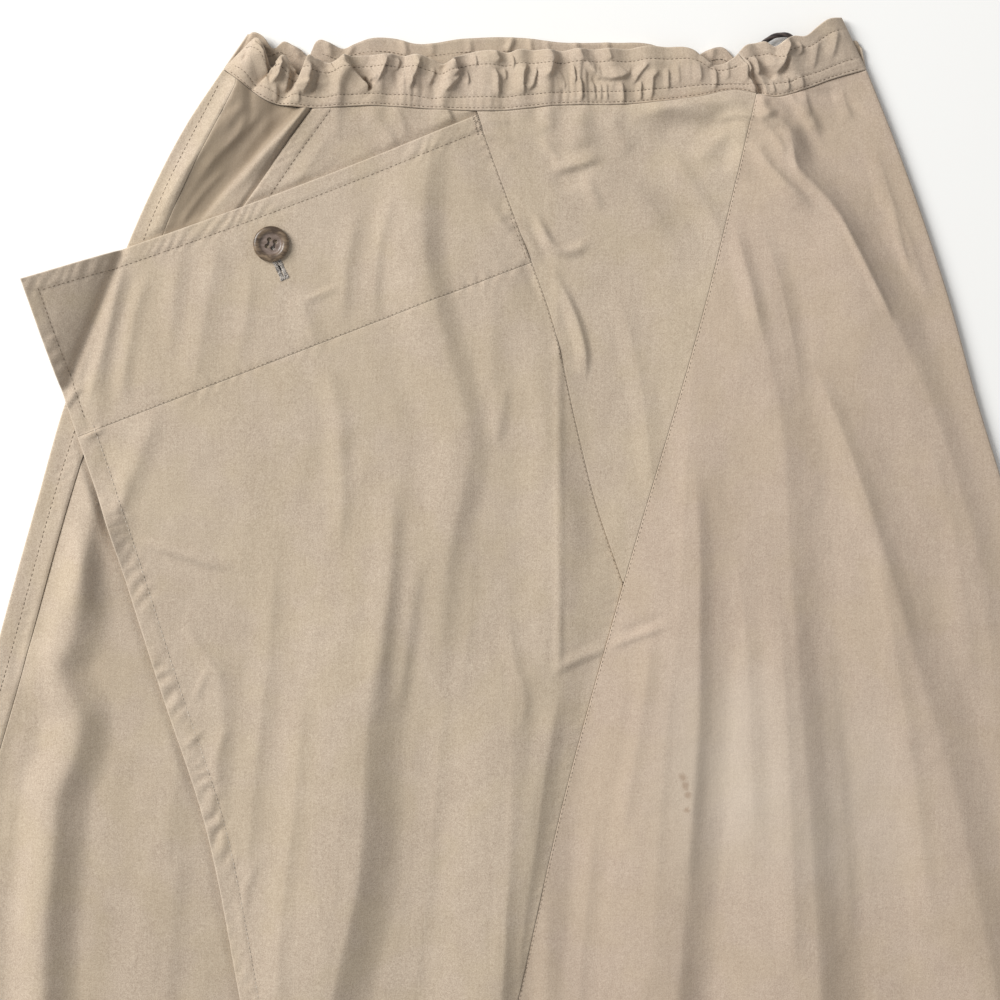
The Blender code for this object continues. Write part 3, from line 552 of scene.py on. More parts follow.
GATHERS_FRONT = table(
    "x y z lean",
    (-177, 36, 0, 0), (-173.4, 37.7, 4, 1), (-170, 38, 7, 1), (-167, 35, 7, 1), (-164.4, 27, 3.5, 1),
    (-162.6, 20.5, 0.5, 1), (-160, 24.5, 3, 0), (-155.4, 28.4, 6, 0), (-152.4, 26.5, 5, 0),
    (-149, 19.8, 1.5, 0), (-145.6, 18, 0.8, 0), (-143.4, 22, 3.5, 0), (-141.6, 27, 6, 0),
    (-136.3, 26.7, 5, 1), (-129, 24.4, 2, 3), (-124, 26.2, 4.5, 5), (-121, 28.4, 6.5, 6), (-116, 28.4, 3, 5),
    (-106, 29, 1.5, 2), (-93, 29.5, 3.8, -2), (-87, 28.7, 1.2, -2), (-77, 29.3, 3.8, -3),
    (-69, 26.7, 1.5, -3), (-62, 24.2, 1, -3), (-57.5, 26.8, 4, -2), (-53, 28.8, 1.5, -2), (-32, 31.5, 3, 0),
    (-26, 30.5, 1, 0), (-18, 32.5, 2.6, 1), (-11, 32, 1.2, 1), (-1, 32, 4.2, 0), (5, 31.5, 1, 0),
    (17, 33, 3.4, 0), (23, 32.5, 1, 0), (35, 33, 3, 2), (42, 32.5, 1.2, 2), (57, 34.5, 2.6, 0),
    (65, 34, 1.2, 0), (83, 32, 2.6, 0), (93.5, 24, 0.6, 0), (106, 27.5, 3, 2), (112.5, 34, 5.5, 2),
    (118, 35.5, 4.2, 2), (124, 36.2, 5.5, 1), (130, 33.4, 5, 0), (135, 37, 7, -2), (140, 39.5, 5.4, -2),
    (148, 40, 4.6, -1), (154, 45, 3.5, 0), (160, 49.5, 3, 0), (169.5, 51.6, 0, 0),
)
SEAM_ENDS = (-191, 184)  # the waistband's ends at the seam
GATHER_AT_SEAM = 0.25  # share of a gather's height that is left at the seam
GATHER_FADE = 30  # over which it dies out below the seam


def fold_height(x, y, shape):
    """Height of one fold: a gentle rise to its crest, then a steeper drop that levels out."""
    crest = shape["crest"]
    past = beside(lambda at: along(crest, "y", "x", at), x, y)
    left = (1 - np.clip(-past / shape["rise"], 0, 1) ** 2) ** 2
    over = np.sqrt(np.maximum(past, 0) ** 2 + CREST_ROUNDING**2) - CREST_ROUNDING
    drop = np.clip(over / shape["fall"], 0, 1)
    right = (1 - drop) ** 2 * (1 + DROP_ROUNDING * drop)
    return np.maximum(along(crest, "y", "height", y), 0) * np.where(past < 0, left, right)


def seam_of(x, gathers):
    """Place at the seam below a place on the waistband's top edge."""
    return np.interp(x, gathers["x"][[0, -1]], SEAM_ENDS)


def gather_z(seam_x):
    """Height of the waistband's gathers along the waist seam."""
    seam = seam_of(GATHERS_FRONT["x"], GATHERS_FRONT) + GATHERS_FRONT["lean"]
    return GATHER_AT_SEAM * along(dict(GATHERS_FRONT, seam=seam), "seam", "z", seam_x)


def front_lift(x, y):
    """How far the front's large folds stand up over where it would lie flat."""
    folds = sum(fold_height(x, y, shape) for shape in FOLDS.values())
    return folds + gather_z(x) * ease(1 - (waist_y(x) - y) / GATHER_FADE)


# The wrap panel's edges are needed here, since the skirt's folds die out under it.
WRAP_TOP_LEFT, WRAP_TOP_RIGHT = -102, -5
WRAP_TOP_SAG = 3.2
APEX_Y = -278  # where the wrap panel's seam runs into the long seam
UNDER_EDGE_START, UNDER_EDGE_FADE = 8, 18
UNDER_TOP_START, UNDER_TOP_FADE = 9, 16
WRAP_SEAM = table("y x", (0, -44), (-16, -39), (-61, -22.6), (-126, 1), (-187, 15), (-231, 26), (-278, 42))
LONG_SEAM = table("y x", (10, JOINT_X), (-114, 90), (-278, 42), (-409, 6), (-519, -19), (-809, -88.7))
FREE_EDGE = table(
    "y x",
    (-102, -305), (-172, -282), (-238, -259.5), (-345, -225), (-409, -203.5), (-519, -180.5), (-806, -130.5),
)


def long_seam(y):
    return along(LONG_SEAM, "y", "x", y)


def wrap_seam(y):
    """The seam that the wrap panel is sewn into: its own down to the apex, then the long seam."""
    return np.where(y > APEX_Y, along(WRAP_SEAM, "y", "x", y), long_seam(y))


def free_edge(y):
    return along(FREE_EDGE, "y", "x", y)


def wrap_top_y(x):
    """The wrap panel's top edge."""
    left, right = free_edge(WRAP_TOP_LEFT), wrap_seam(WRAP_TOP_RIGHT)
    t = np.clip((x - left) / (right - left), 0, 1)
    return WRAP_TOP_LEFT + (WRAP_TOP_RIGHT - WRAP_TOP_LEFT) * t - 4 * WRAP_TOP_SAG * t * (1 - t)


def uncovered(x, y):
    """1 where the wrap panel doesn't lie on the skirt, falling to 0 well inside its edges."""
    aside = ease((free_edge(y) - x - UNDER_EDGE_START) / UNDER_EDGE_FADE)
    above = ease((y - wrap_top_y(x) - UNDER_TOP_START) / UNDER_TOP_FADE)
    return np.maximum(aside, above)


def bare(x, y):
    """1 where nothing lies on the skirt's front, falling to 0 just short of the wrap panel's edges."""
    return np.maximum(ease((free_edge(y) - x - 0.5) / 4), ease((y - wrap_top_y(x) - 0.5) / 4))


# Strong forms beside the wrap panel, which every layer there follows.
DEEP_CREASES = creases(
    (20, 26, 4.4, (-172.5, 49.5), (-179, 29), (-184, 7.5), (-187, -4.5), (-195.5, -16), (-202.5, -26),
     (-212.5, -37.5), (-222, -54), (-229, -70), (-237, -91)),
    (22, 5, -3, (-128, 26), (-138.5, 6), (-148.5, -4), (-157, -12), (-166, -21), (-174.5, -29.5),
     (-183.5, -39), (-195, -52), (-209.5, -70), (-221, -84)),
    (16, 13, 4, (-259.5, -194.5), (-262.5, -217.5), (-266, -235), (-267.5, -252.5), (-272, -272.5),
     (-275.5, -290), (-281.5, -307.5)),
    (26, 18, 1.4, (-214.5, -330), (-220, -400), (-228.5, -479.5), (-236, -559.5)),
)


def skirt_lift(x, y):
    """The front's large folds, dying out under the wrap panel."""
    return front_lift(x, y) * uncovered(x, y) + creases_height(x, y, DEEP_CREASES) * bare(x, y)


LEFT_SIDE_CREASES = creases(
    (14, 11, -1.4, (-256, -222), (-259, -252), (-258, -275), (-266, -300)),
    (12, 10, -1.2, (-276, -306), (-282, -334), (-279, -356)),
    (13, 16, 1, (-296, -300), (-303, -350), (-312, -420), (-318, -500)),
    (10, 12, 0.8, (-268, -180), (-280, -225), (-291, -270), (-296, -320)),
    (8, 6, -0.7, (-228, -66), (-240, -92), (-251, -120), (-262, -150)),
    (6, 5, -0.5, (-300, -282), (-309, -310), (-313, -345)),
    (9, 7, -0.6, (-322, -352), (-331, -392), (-336, -430)),
    (10, 7, 0.7, (-327, -440), (-338, -480), (-344, -530)),
    (9, 9, -0.8, (-340, -540), (-352, -600), (-361, -655)),
    (12, 9, 0.8, (-365, -600), (-378, -660), (-389, -725)),
)
UNDERSIDE_CREASES = creases(
    (9, 9, 0.8, (-180, -60), (-190, -180), (-214, -330), (-222, -420)),
    (7, 8, 0.7, (-90, -40), (-84, -160), (-98, -300)),
    (10, 8, 0.8, (10, -30), (4, -190), (18, -360), (12, -520)),
    (8, 8, 0.7, (96, -70), (110, -240), (104, -400)),
    (9, 10, 0.8, (168, -120), (190, -300), (212, -470), (224, -600)),
    (8, 8, 0.7, (-150, -420), (-164, -560), (-158, -720)),
    (10, 8, 0.8, (-40, -480), (-52, -620), (-46, -770)),
    (9, 9, 0.7, (110, -500), (128, -640), (140, -780)),
    (9, 8, 0.7, (-290, -440), (-312, -600), (-330, -730)),
    (6, 5, 0.5, (-130, -250), (-90, -262), (-52, -258)),
    (6, 5, 0.5, (40, -300), (84, -290), (120, -306)),
)


def hollows(x, y):
    """The underside's creases, which only rise, because the rest of it lies on the table."""
    raised = np.maximum(creases_height(x, y, UNDERSIDE_CREASES), 0)
    return raised + 0.12 * np.clip(crumple(x, y, 24, 40, 5), 0, 1)


def side_strip_relief(x, y):
    """The strip of the back that shows left of the side seam, raised by the felled seam at its topstitch."""
    out = -beside(side_seam, x, y)
    felled = 0.45 * ease(out / 2) * ease((FELL + 2 - out) / 3)
    stitched = 0.22 * groove(out - FELL) + 0.24 * puckers(out - FELL, y, 7, 8, 11)
    form = skirt_lift(x, y)
    return form + (creases_height(x, y, LEFT_SIDE_CREASES) + washed(x, y) + felled + stitched) * bare(x, y)


COTTON_DARK, COTTON_LIGHT = "#A39280", "#D0C1AD"
COTTON_PALER, COTTON_WORN = "#D6CCBE", "#DDD1C0"
COTTON_POCKET_SHADE, COTTON_STAINED = "#8F7E69", "#8A6A50"  # painted shade for the pocket's mouth, and old stains
COTTON_OLIVE, COTTON_PINK = "#B5A67F", "#C7A99B"  # what is left of the dye's parts, in its clouds
WEAVE_MM = (0.62, 0.75)  # threads are 0.3 mm apart, too fine to show, so the grain is drawn coarser
SLUB_MM = (1.3, 22)  # the thicker stretches of the yarns that run down the piece
CROSS_SLUB_MM = (14, 1.2)
CLOUD_MM = 85  # where the dye has washed out unevenly
PATCH_MM, FLECK_MM, HUE_MM = 14, 1.7, 34  # its patches, its flecks and its changes of tint
OLIVE_SHARE, WORN_SHARE, STAIN_SHARE = 0.16, 0.5, 0.42  # the most of those colours that is mixed in


def washed_cotton(name, shade=0.0, spots=(), pink=0.05):
    """Cotton poplin, piece-dyed and washed many times: matt, with a fine grain, faint slubs down the cloth,
    clouds where the dye has gone, and paler edges. spots are (x, y, radius) of old stains, and pink is how
    much more of the dye's red is left."""
    finish, tree, shader = new_material(name)
    place = add_node(tree, "TexCoord").outputs["Object"]

    def noise(size_mm, detail):
        """Noise with lumps of that many millimetres across and down."""
        sizes = np.broadcast_to(size_mm, 2)
        scale = tuple(1 / (sizes[k] * MM) for k in (0, 1, 0))
        scaled = add_node(tree, "Mapping", inputs={"Vector": place, "Scale": scale}).outputs["Vector"]
        lumps = {"Vector": scaled, "Scale": 1.0, "Detail": detail}
        return add_node(tree, "TexNoise", inputs=lumps).outputs["Fac"]

    def weighted(*parts):
        """A sum of noises about their middles, round one half."""
        total = 0.5 + shade
        for value, weight in parts:
            parted = {0: value, 1: weight, 2: -weight / 2}
            centred = add_node(tree, "Math", {"operation": "MULTIPLY_ADD"}, parted).outputs[0]
            total = add_node(tree, "Math", {"operation": "ADD"}, {0: total, 1: centred}).outputs[0]
        return total

    grain = noise(WEAVE_MM, 1.5)
    slubs, cross_slubs = noise(SLUB_MM, 2.5), noise(CROSS_SLUB_MM, 2.0)
    clouds, patches = noise(CLOUD_MM, 3.0), noise(PATCH_MM, 3.0)
    flecks = noise(FLECK_MM, 2.0)
    fine = (grain, 1.5), (flecks, 0.5), (slubs, 0.28), (cross_slubs, 0.12)
    dyed = weighted(*fine, (clouds, 0.3), (patches, 0.3))
    limits = {"Value": noise(HUE_MM, 2.0), "From Min": 0.4, "From Max": 0.62, "To Max": OLIVE_SHARE}
    tinted = add_node(tree, "MapRange", {"interpolation_type": "SMOOTHSTEP"}, limits).outputs["Result"]
    # kept holds painted shade on the pocket's side piece, deepest in its mouth.
    kept, paler_patches, wear = (
        add_node(tree, "Attribute", {"attribute_name": key}).outputs["Fac"]
        for key in ("kept", "paler_patches", "wear")
    )
    worn = add_node(tree, "Math", {"operation": "MULTIPLY"}, {0: wear, 1: WORN_SHARE}).outputs[0]
    washes = [(dyed, COTTON_LIGHT), (tinted, COTTON_OLIVE), (pink, COTTON_PINK), (kept, COTTON_POCKET_SHADE)]
    # Paler in patches low on the right front, and pale on the rounded edges from wear.
    washes += [(paler_patches, COTTON_PALER), (worn, COTTON_WORN)]
    for x, y, radius in spots:
        rough = add_node(tree, "TexNoise", inputs={"Vector": place, "Scale": 450, "Detail": 3})
        bent = add_node(tree, "Mix", {"data_type": "VECTOR"}, {0: 0.003, 4: place, 5: rough.outputs["Color"]})
        level = add_node(tree, "VectorMath", {"operation": "MULTIPLY"}, {0: bent.outputs[1], 1: (1, 1, 0)})
        ends = {0: level.outputs["Vector"], 1: tuple(in_frame((x, y, 0)))}
        away = add_node(tree, "VectorMath", {"operation": "DISTANCE"}, ends).outputs["Value"]
        reach = radius * MM
        limits = {"Value": away, "From Min": reach, "From Max": 0.2 * reach, "To Max": STAIN_SHARE}
        mark = add_node(tree, "MapRange", {"interpolation_type": "SMOOTHSTEP"}, limits).outputs["Result"]
        washes.append((mark, COTTON_STAINED))
    colour = linear(COTTON_DARK)
    for share, tone in washes:
        tones = {0: share, 6: colour, 7: linear(tone)}
        colour = add_node(tree, "Mix", {"data_type": "RGBA", "clamp_factor": True}, tones).outputs[2]
    tree.links.new(colour, shader.inputs["Base Color"])
    shader.inputs["Roughness"].default_value = 0.92
    shader.inputs["Specular IOR Level"].default_value = 0.25
    shader.inputs["Sheen Weight"].default_value = 0.12
    shader.inputs["Sheen Roughness"].default_value = 0.6
    relief = weighted((grain, 0.6), (slubs, 0.3), (cross_slubs, 0.3), (noise(4.5, 2.0), 0.9))
    bump = add_node(tree, "Bump", inputs={"Height": relief, "Strength": 0.5, "Distance": 0.35 * MM})
    tree.links.new(bump.outputs["Normal"], shader.inputs["Normal"])
    return finish


def make_back():
    down = body_rows()
    left, right = plan(np.zeros_like(down), down)[2:]
    width = right - left
    turns = fold_turn(down)
    seam = across_at(side_seam, down, -SEAM_GAP / 2)
    first = -1 + (UNDER_SEAM + SEAM_GAP / 2) / width
    under = columns_between(first, -turns[:, 0], width, 110)
    front = columns_between(turns[:, 0], seam, width, 34)
    across = np.concatenate([under[:, : -len(EDGE)], -turns, turns[:, ::-1], front[:, len(EDGE) :]], axis=1)
    finish = washed_cotton("washed_cotton_back")
    edges = {"left": SEWN, "right": SEWN}
    piece = tube_piece("back", across, down, side_strip_relief, skirt_lift, finish, edges=edges)
    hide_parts("back_panel")
    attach(piece, "root")


make_back()

# ---------------------------------------------------------------------------------------------------------
# The pocket's side piece: a small triangle of the same cotton behind the slant opening, sewn in at the side
# seam. It bulges in a soft ridge beside the opening, and then dips under the front's folded edge.

POCKET_EDGE = table("y x", (6, -133), (-19, -151.5), (-64, -183.5), (-104, -219), (-142, -250.5))
POCKET_RIDGE = fold(
    5, 9, (12, -130, 3.2), (0, -141, 3.8), (-12, -151, 4.2), (-22, -161, 4.2), (-45, -178.6, 3.6),
    (-66, -195, 2.4)
)
POCKET_FOOT = table(
    "y x", (6, -139), (-4, -148.5), (-21, -166), (-39, -183), (-52, -195), (-70, -209), (-100, -236)
)
POCKET_END_Y = -128
POCKET_DIP_START, POCKET_DIP_END = 3.5, 0.5  # from the front's edge, outwards
POCKET_UNDERLAP = 12
POCKET_CALM, POCKET_RIDGE_CALM = 10, 4  # folds and the ridge come up over these, outwards
SIDE_PAINTED_SHADE, MOUTH_PAINTED_SHADE = 0.22, 0.46  # painted shade over the piece, and most before the ridge's foot
SIDE_PIECE_CREASES = creases(
    (5, 4, 0.8, (-176, 2), (-184, -6), (-190, -16)),
    (4, 5, -0.7, (-194, -24), (-204, -34), (-213, -48), (-220, -62)),
    (5, 6, 0.8, (-150, 2), (-168, -14), (-186, -38)),
    (4, 5, -0.4, (-160, 0), (-163, -18), (-160, -40)),
    (7, 4, 1.3, (-166, 2), (-172, -8), (-183, -19), (-196, -32), (-206, -46)),
    (3.5, 2.5, 0.7, (-176, -4), (-181, -16), (-192, -28)),
    (4, 3, 0.8, (-186, -34), (-198, -46), (-209, -60), (-218, -76)),
    (3, 3, -0.6, (-180, 4), (-186, -2), (-194, -6)),
)


def down_at(y, path):
    """How far down the skirt a seam passes a height."""
    down = -y / LENGTH
    for _ in range(SOLVER_ROUNDS):
        down = down + (plan(across_at(path, down), down)[1] - y) / LENGTH
    return down


def front_left_edge(y):
    """The pocket's edge as far as it goes, then the side seam."""
    return np.where(y > POCKET_EDGE["y"][-1], along(POCKET_EDGE, "y", "x", y), side_seam(y))


def pocket_lift(x, y):
    """How far the piece behind the pocket stands up: over its ridge, then a layer down under the front."""
    out = front_left_edge(y) - x
    ridge = fold_height(x, y, POCKET_RIDGE) * uncovered(x, y)
    dip = 1 - np.clip((out - POCKET_DIP_END) / (POCKET_DIP_START - POCKET_DIP_END), 0, 1)
    folds = skirt_lift(x, y) * ease(out / POCKET_CALM)
    return folds + ridge * ease(out / POCKET_RIDGE_CALM) - LAYER * dip


def pocket_relief(x, y):
    out = front_left_edge(y) - x
    fine = creases_height(x, y, SIDE_PIECE_CREASES) + 0.8 * washed(x, y)
    return pocket_lift(x, y) + fine * bare(x, y) * ease((out - 1) / 4)


def painted_pocket_shade(points):
    """Painted shade: a little over the piece, most in the pocket's mouth between side seam and ridge's foot.
    """
    x, y = points[..., 0], points[..., 1]
    before_foot = ease((along(POCKET_FOOT, "y", "x", y) - x + 4) / 3)
    return (SIDE_PAINTED_SHADE + MOUTH_PAINTED_SHADE * before_foot) * ease((beside(side_seam, x, y) + 1) / 3)


def make_side_piece():
    down = spaced(0, down_at(POCKET_END_Y, side_seam) * LENGTH, FINE) / LENGTH
    left, right = plan(np.zeros_like(down), down)[2:]
    seam = across_at(side_seam, down, SEAM_GAP / 2)
    hidden = across_at(front_left_edge, down, POCKET_UNDERLAP)
    across = columns_between(seam, hidden, right - left, 45)
    finish = washed_cotton("washed_cotton_side", -0.04)
    edges = {"left": SEWN}
    # The pocket's painted shade goes in as the attribute kept.
    forms, kept = (pocket_relief, pocket_lift), {"kept": painted_pocket_shade}
    piece = tube_piece("pocket_side", across, down, *forms, finish, attributes=kept, edges=edges)
    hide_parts("side_front_left")
    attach(piece, "root")


make_side_piece()

# ---------------------------------------------------------------------------------------------------------
# The under front: the left front panel, which the wrap panel covers but for a strip at the side and the part
# above the flap. Its slant edge is the pocket's mouth, turned in and topstitched a finger's breadth inside.

SEAM_SINK, SEAM_SINK_OVER = 1.5, 20  # at its seam the wrap panel goes down to the level beside it
COVERED_SINK, SEWN_SINK = 0.9, 0.7  # the front goes down where the panel presses on it, and more at the seam
POCKET_STITCH, POCKET_STITCH_END = 9, -150
POCKET_HEM = 0.6  # the turned-in edge's extra thickness
UNDER_FRONT_CREASES = creases(
    (12, 14, -0.8, (-124, 2), (-112, -3), (-104, -12), (-112, -26)),
    (9, 8, 0.8, (-124, -10), (-140, -34), (-163, -62), (-180, -84)),
    (7, 7, -0.7, (-112, -24), (-132, -44), (-154, -62)),
    (16, 2.6, 1.9, (-72, 4), (-63, 0), (-58, -5), (-57.5, -10), (-60, -16), (-68, -22)),
    (9, 4, 0.8, (-108, 2), (-98, -10), (-90, -24), (-88, -34)),
    (6, 4, 0.7, (-92, 2), (-86, -9), (-84, -20)),
    (9, 7, -0.7, (-292, -285), (-296, -320), (-290, -360)),
    (9, 12, 0.9, (-215, -420), (-220, -480), (-226, -560)),
    (6, 7, -0.5, (-310, -350), (-318, -395), (-322, -440)),
    (9, 9, 0.8, (-330, -480), (-340, -560), (-356, -640), (-366, -720)),
    (10, 8, -0.8, (-268, -560), (-280, -640), (-292, -720)),
    (9, 12, 0.8, (-196, -560), (-202, -640), (-214, -730)),
)


def near_wrap_seam(x, y):
    """1 at the seam that the wrap panel is sewn into, falling to 0 on the panel's side."""
    return ease(1 + beside(wrap_seam, x, y) / SEAM_SINK_OVER) * (1 - bare(x, y))


def under_front_form(x, y):
    return skirt_lift(x, y) - SEWN_SINK * near_wrap_seam(x, y) - COVERED_SINK * (1 - bare(x, y))


def pocket_edge(y):
    return along(POCKET_EDGE, "y", "x", y)


def under_front_relief(x, y):
    """The under front's full height: raised where it is folded in at the pocket and at the side seam."""
    inside = beside(pocket_edge, x, y)
    mouth = ease((y - POCKET_STITCH_END) / 8)
    hem = POCKET_HEM * ease((POCKET_STITCH + 2 - inside) / 3) * mouth
    pulled = 1.1 * puckers(inside - 0.6 * POCKET_STITCH, y, 6, 7, 21, -0.8)
    line = 0.3 * groove(inside - POCKET_STITCH) + pulled
    fine = creases_height(x, y, UNDER_FRONT_CREASES) + washed(x, y) + line * mouth
    shown = bare(x, y)
    return under_front_form(x, y) + (fine + hem * ease(inside / 1.5)) * shown


def make_under_front():
    down = body_rows()
    left, right = plan(np.zeros_like(down), down)[2:]
    start = across_at(front_left_edge, down, SEAM_GAP / 2)
    end = across_at(wrap_seam, down, -SEAM_GAP / 2)
    across = columns_between(start, end, right - left, 141)
    finish = washed_cotton("washed_cotton_under_front", -0.05)
    edges = {"left": 0.7, "right": SEWN}
    forms = under_front_relief, under_front_form
    piece = tube_piece("under_front", across, down, *forms, finish, edges=edges)
    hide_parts("front_left_panel")
    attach(piece, "root")


make_under_front()

# ---------------------------------------------------------------------------------------------------------
# The right front and the inset: the right front is one panel from the long slanting seam round the right
# fold, and the inset is the narrow triangle between that seam and the one that the wrap panel is sewn into.

RIGHT_CREASES = creases(
    (17, 22, 1.9, (12, 6), (13, -12), (17, -33), (30, -47), (50, -60), (68, -76), (80, -98)),
    (9, 10, -1, (0, -46), (12, -43), (26, -42)),
    (5, 6, -0.7, (-13, -62), (-9, -74), (-3, -88), (2, -100)),
    (8, 6, 0.7, (-2, -84), (2, -96), (4, -112), (4, -134)),
    (10, 12, 1, (34, -96), (48, -140), (56, -190), (60, -240)),
    (9, 5, 0.9, (-16, -8), (-2, -16), (8, -26)),
    (4, 4, -0.6, (-37, -19), (-30, -23), (-21, -28)),
    (3, 3, -0.4, (-37, -14), (-28, -15), (-20, -19)),
    (14, 8, 1.3, (68, -20), (82, -46), (95, -66), (104, -92)),
    (8, 9, -1.2, (42, -2), (58, -8), (74, -12), (92, -14), (110, -8)),
    (7, 5, 0.8, (50, 2), (64, 0), (80, -3), (98, -5)),
    (8, 6, -0.7, (56, -14), (74, -21), (96, -25)),
    (14, 9, 1.2, (118, -60), (132, -100), (141, -140), (146, -176)),
    (14, 12, 1.2, (132, -286), (136, -350), (139, -420), (142, -520)),
    (10, 10, 0.6, (160, -300), (166, -360), (171, -430), (176, -500)),
    (16, 9, 1.2, (82, -196), (86, -258), (86, -316), (86, -345), (81, -420), (79, -470)),
    (16, 12, 1, (104, -240), (112, -300), (116, -370), (118, -450)),
    (14, 9, 1.2, (148, -140), (165, -180), (182, -226), (200, -280), (214, -330)),
    (14, 10, 1, (186, -250), (200, -320), (212, -400), (222, -490)),
    (12, 9, 0.5, (214, -180), (230, -230), (240, -290), (248, -350)),
    (13, 9, 0.4, (256, -330), (266, -400), (278, -470), (292, -550)),
    (12, 8, 0.4, (236, -240), (252, -300), (262, -350)),
    (9, 8, 0.7, (60, -300), (52, -360), (40, -430)),
    (12, 10, 1, (26, -400), (22, -450), (16, -520), (4, -600)),
    (5, 5, -0.6, (40, -306), (52, -303), (68, -296)),
    (12, 12, 1, (40, -560), (34, -640), (28, -740)),
    (14, 12, 1, (110, -540), (118, -630), (128, -740)),
    (13, 12, 1, (220, -540), (240, -630), (258, -730)),
    (12, 10, 0.9, (318, -560), (336, -640), (352, -720)),
    (9, 8, -0.7, (70, -600), (74, -680), (80, -760)),
    (9, 8, -0.7, (176, -600), (190, -690), (206, -760)),
    (9, 3, 2.4, (30.5, -30.5), (24, -32.5), (17, -35), (10, -36.5), (3, -38.5), (-1, -40)),
    (5, 4, 1.2, (-5, -17.5), (-0.5, -25), (4, -30.5), (7.5, -35.5)),
    (7, 5, 1.3, (17, -37.5), (21.5, -44.5), (26, -53), (29.5, -62)),
    (6, 4, 2.2, (-10.5, -59.5), (-7, -67.5), (-3.5, -73.5), (0, -80), (5, -83.5), (12, -84), (19, -80.5),
     (24.5, -76)),
    (8, 4, 2.2, (3, -97), (6.5, -105), (10.5, -113), (15, -123.5), (18.5, -135), (20.5, -148), (19, -162.5)),
    (40, 11, 3, (116.5, 14.5), (121, 6.5), (127, -1), (133.5, -8), (137.5, -14), (139, -20.5), (140.5, -27.5),
     (142, -35), (146.5, -42), (153, -48), (159.5, -54.5), (164, -60.5), (169.5, -68.5), (174, -78.5),
     (179, -88), (185, -100), (191.5, -112), (198.5, -126), (205.5, -141)),
    (9, 6, 2, (112, -19), (119.5, -26), (126, -35), (134, -44), (141, -52), (148, -59.5), (151.5, -63)),
    (8, 4, 2, (137.5, -14.5), (131.5, -12), (124, -9.5), (115.5, -6.5), (106.5, -4.5), (98, -4)),
    (5, 5, -1.5, (149, 7.5), (164.5, 6.5), (173.5, 2.5), (180.5, -3.5), (187.5, -7.5), (195.5, -12)),
    (7, 5, 1.8, (136.5, 11.5), (142.5, 1), (149, -4.5), (154.5, -12), (155.5, -19)),
    (10, 7, 1.9, (184, -15.5), (189.5, -27.5), (193, -39), (196.5, -50.5), (202.5, -63), (208, -76),
     (214, -88.5), (220, -101.5)),
    (8, 6, 1.2, (193, -63), (198.5, -73.5), (204.5, -84), (214, -97), (224.5, -108.5)),
    (10, 8, 1.5, (102.5, -64), (108.5, -78.5), (112.5, -91), (116.5, -107.5), (120, -124.5), (123.5, -142)),
    (6, 3, 1.2, (68, -302), (51.5, -308), (39, -313), (32, -316)),
    (12, 13, 4, (126, 1), (106.5, 1.5), (86.5, 0.5), (66, -2.5), (51.5, -7), (41, -12)),
    (12, 12, 1.6, (112.5, -7.5), (100.5, -18), (90, -27.5), (80.5, -34)),
    (7, 7, -1.5, (130, 4), (138.5, -4), (145.5, -13.5), (151.5, -24), (159.5, -34)),
    (4, 3, 0.9, (-37.5, -7), (-30.5, -8), (-22.5, -10)),
    (4, 3, 0.9, (-36.5, -13.5), (-29.5, -15.5), (-21.5, -19.5)),
    (4, 3, 0.9, (-35.5, -21), (-28.5, -24.5), (-20.5, -30.5)),
    (14, 14, 1.6, (15.5, 0.5), (17, -7.5), (19, -17), (21.5, -26)),
    (12, 12, 1.2, (34, 0.5), (36.5, -8.5), (41, -19), (48, -29.5)),
    (9, 8, 1.2, (-1.5, 0.5), (-1, -7.5), (0.5, -15.5)),
    (16, 12, 1.6, (14, -32), (24, -35.5), (35.5, -41), (49.5, -49.5), (58.5, -58.5), (65, -70), (69, -80.5)),
    (3, 3.5, 1.5, (133, -3), (127, -5.5), (115.5, -7), (104, -7), (93.5, -9)),
    (8, 11, 2, (121, 6), (124, -1), (129, -8)),
    (6, 3, 1.1, (147.5, 9), (149, 0), (152, -7)),
    (8, 4, 1.1, (169, 12), (171.5, 0), (176, -9)),
    (5, 3.5, 1.2, (140, -23), (141, -34), (152, -47), (163, -59), (174, -77), (186, -101), (199, -127)),
    (6, 3, 1.1, (118, -28), (127, -37), (136, -46), (147, -55), (153, -64)),
    (5, 3, 0.9, (197, -50), (201, -66), (205, -84), (211, -102)),
    (7, 4, 0.9, (206, -70), (212, -88), (219, -106), (226, -122)),
    (10, 22, 2.4, (114, 2), (113, -12), (110, -30), (106, -48)),
    (4, 4, -1.3, (124, 6), (129, -2), (137, -9), (143, -14)),
    (4, 3, 1.2, (116, -6), (124, -12), (131, -20), (137, -30)),
    (60, 42, 1.4, (116.5, 37.5), (122.5, 8.5), (135, -14.5), (142, -35), (159.5, -54.5), (174, -78.5),
     (191.5, -112), (211, -153.5), (220, -182.5)),
    (60, 40, 3, (83.5, -90), (80.5, -171), (77, -240.5), (72.5, -310.5), (65.5, -380), (60.5, -461),
     (56.5, -548)),
)


INSET_TIP = 0.0015  # how far above the seams' meeting the inset ends, as a share of the skirt's length
PALER_PLACES = ((108, -388, 66, 74, 1), (158, -400, 62, 84, 0.75))  # x, y, half width, half length, strength
PALER_SHARE = 0.34
STAINS = ((77.5, -388, 3.4), (79, -393, 3.4), (80.5, -398, 3), (80, -407, 2.6))  # x, y, radius


def seam_puckers(x, y):
    """The slight puckers along the seams of the middle of the front, the same on both sides of each."""
    attached = np.abs(beside(wrap_seam, x, y))
    return 0.3 * puckers(attached, y, 6, 8, 67) + 0.12 * puckers(np.abs(beside(long_seam, x, y)), y, 6, 9, 31)


def front_relief(x, y):
    waist = ease(1 - (waist_y(x) - y) / 16)
    gathers = 0.35 * waist * crumple(x, y, 3.4, 26, 33)
    fine = creases_height(x, y, RIGHT_CREASES) + washed(x, y) + gathers
    return front_lift(x, y) + fine + seam_puckers(x, y)


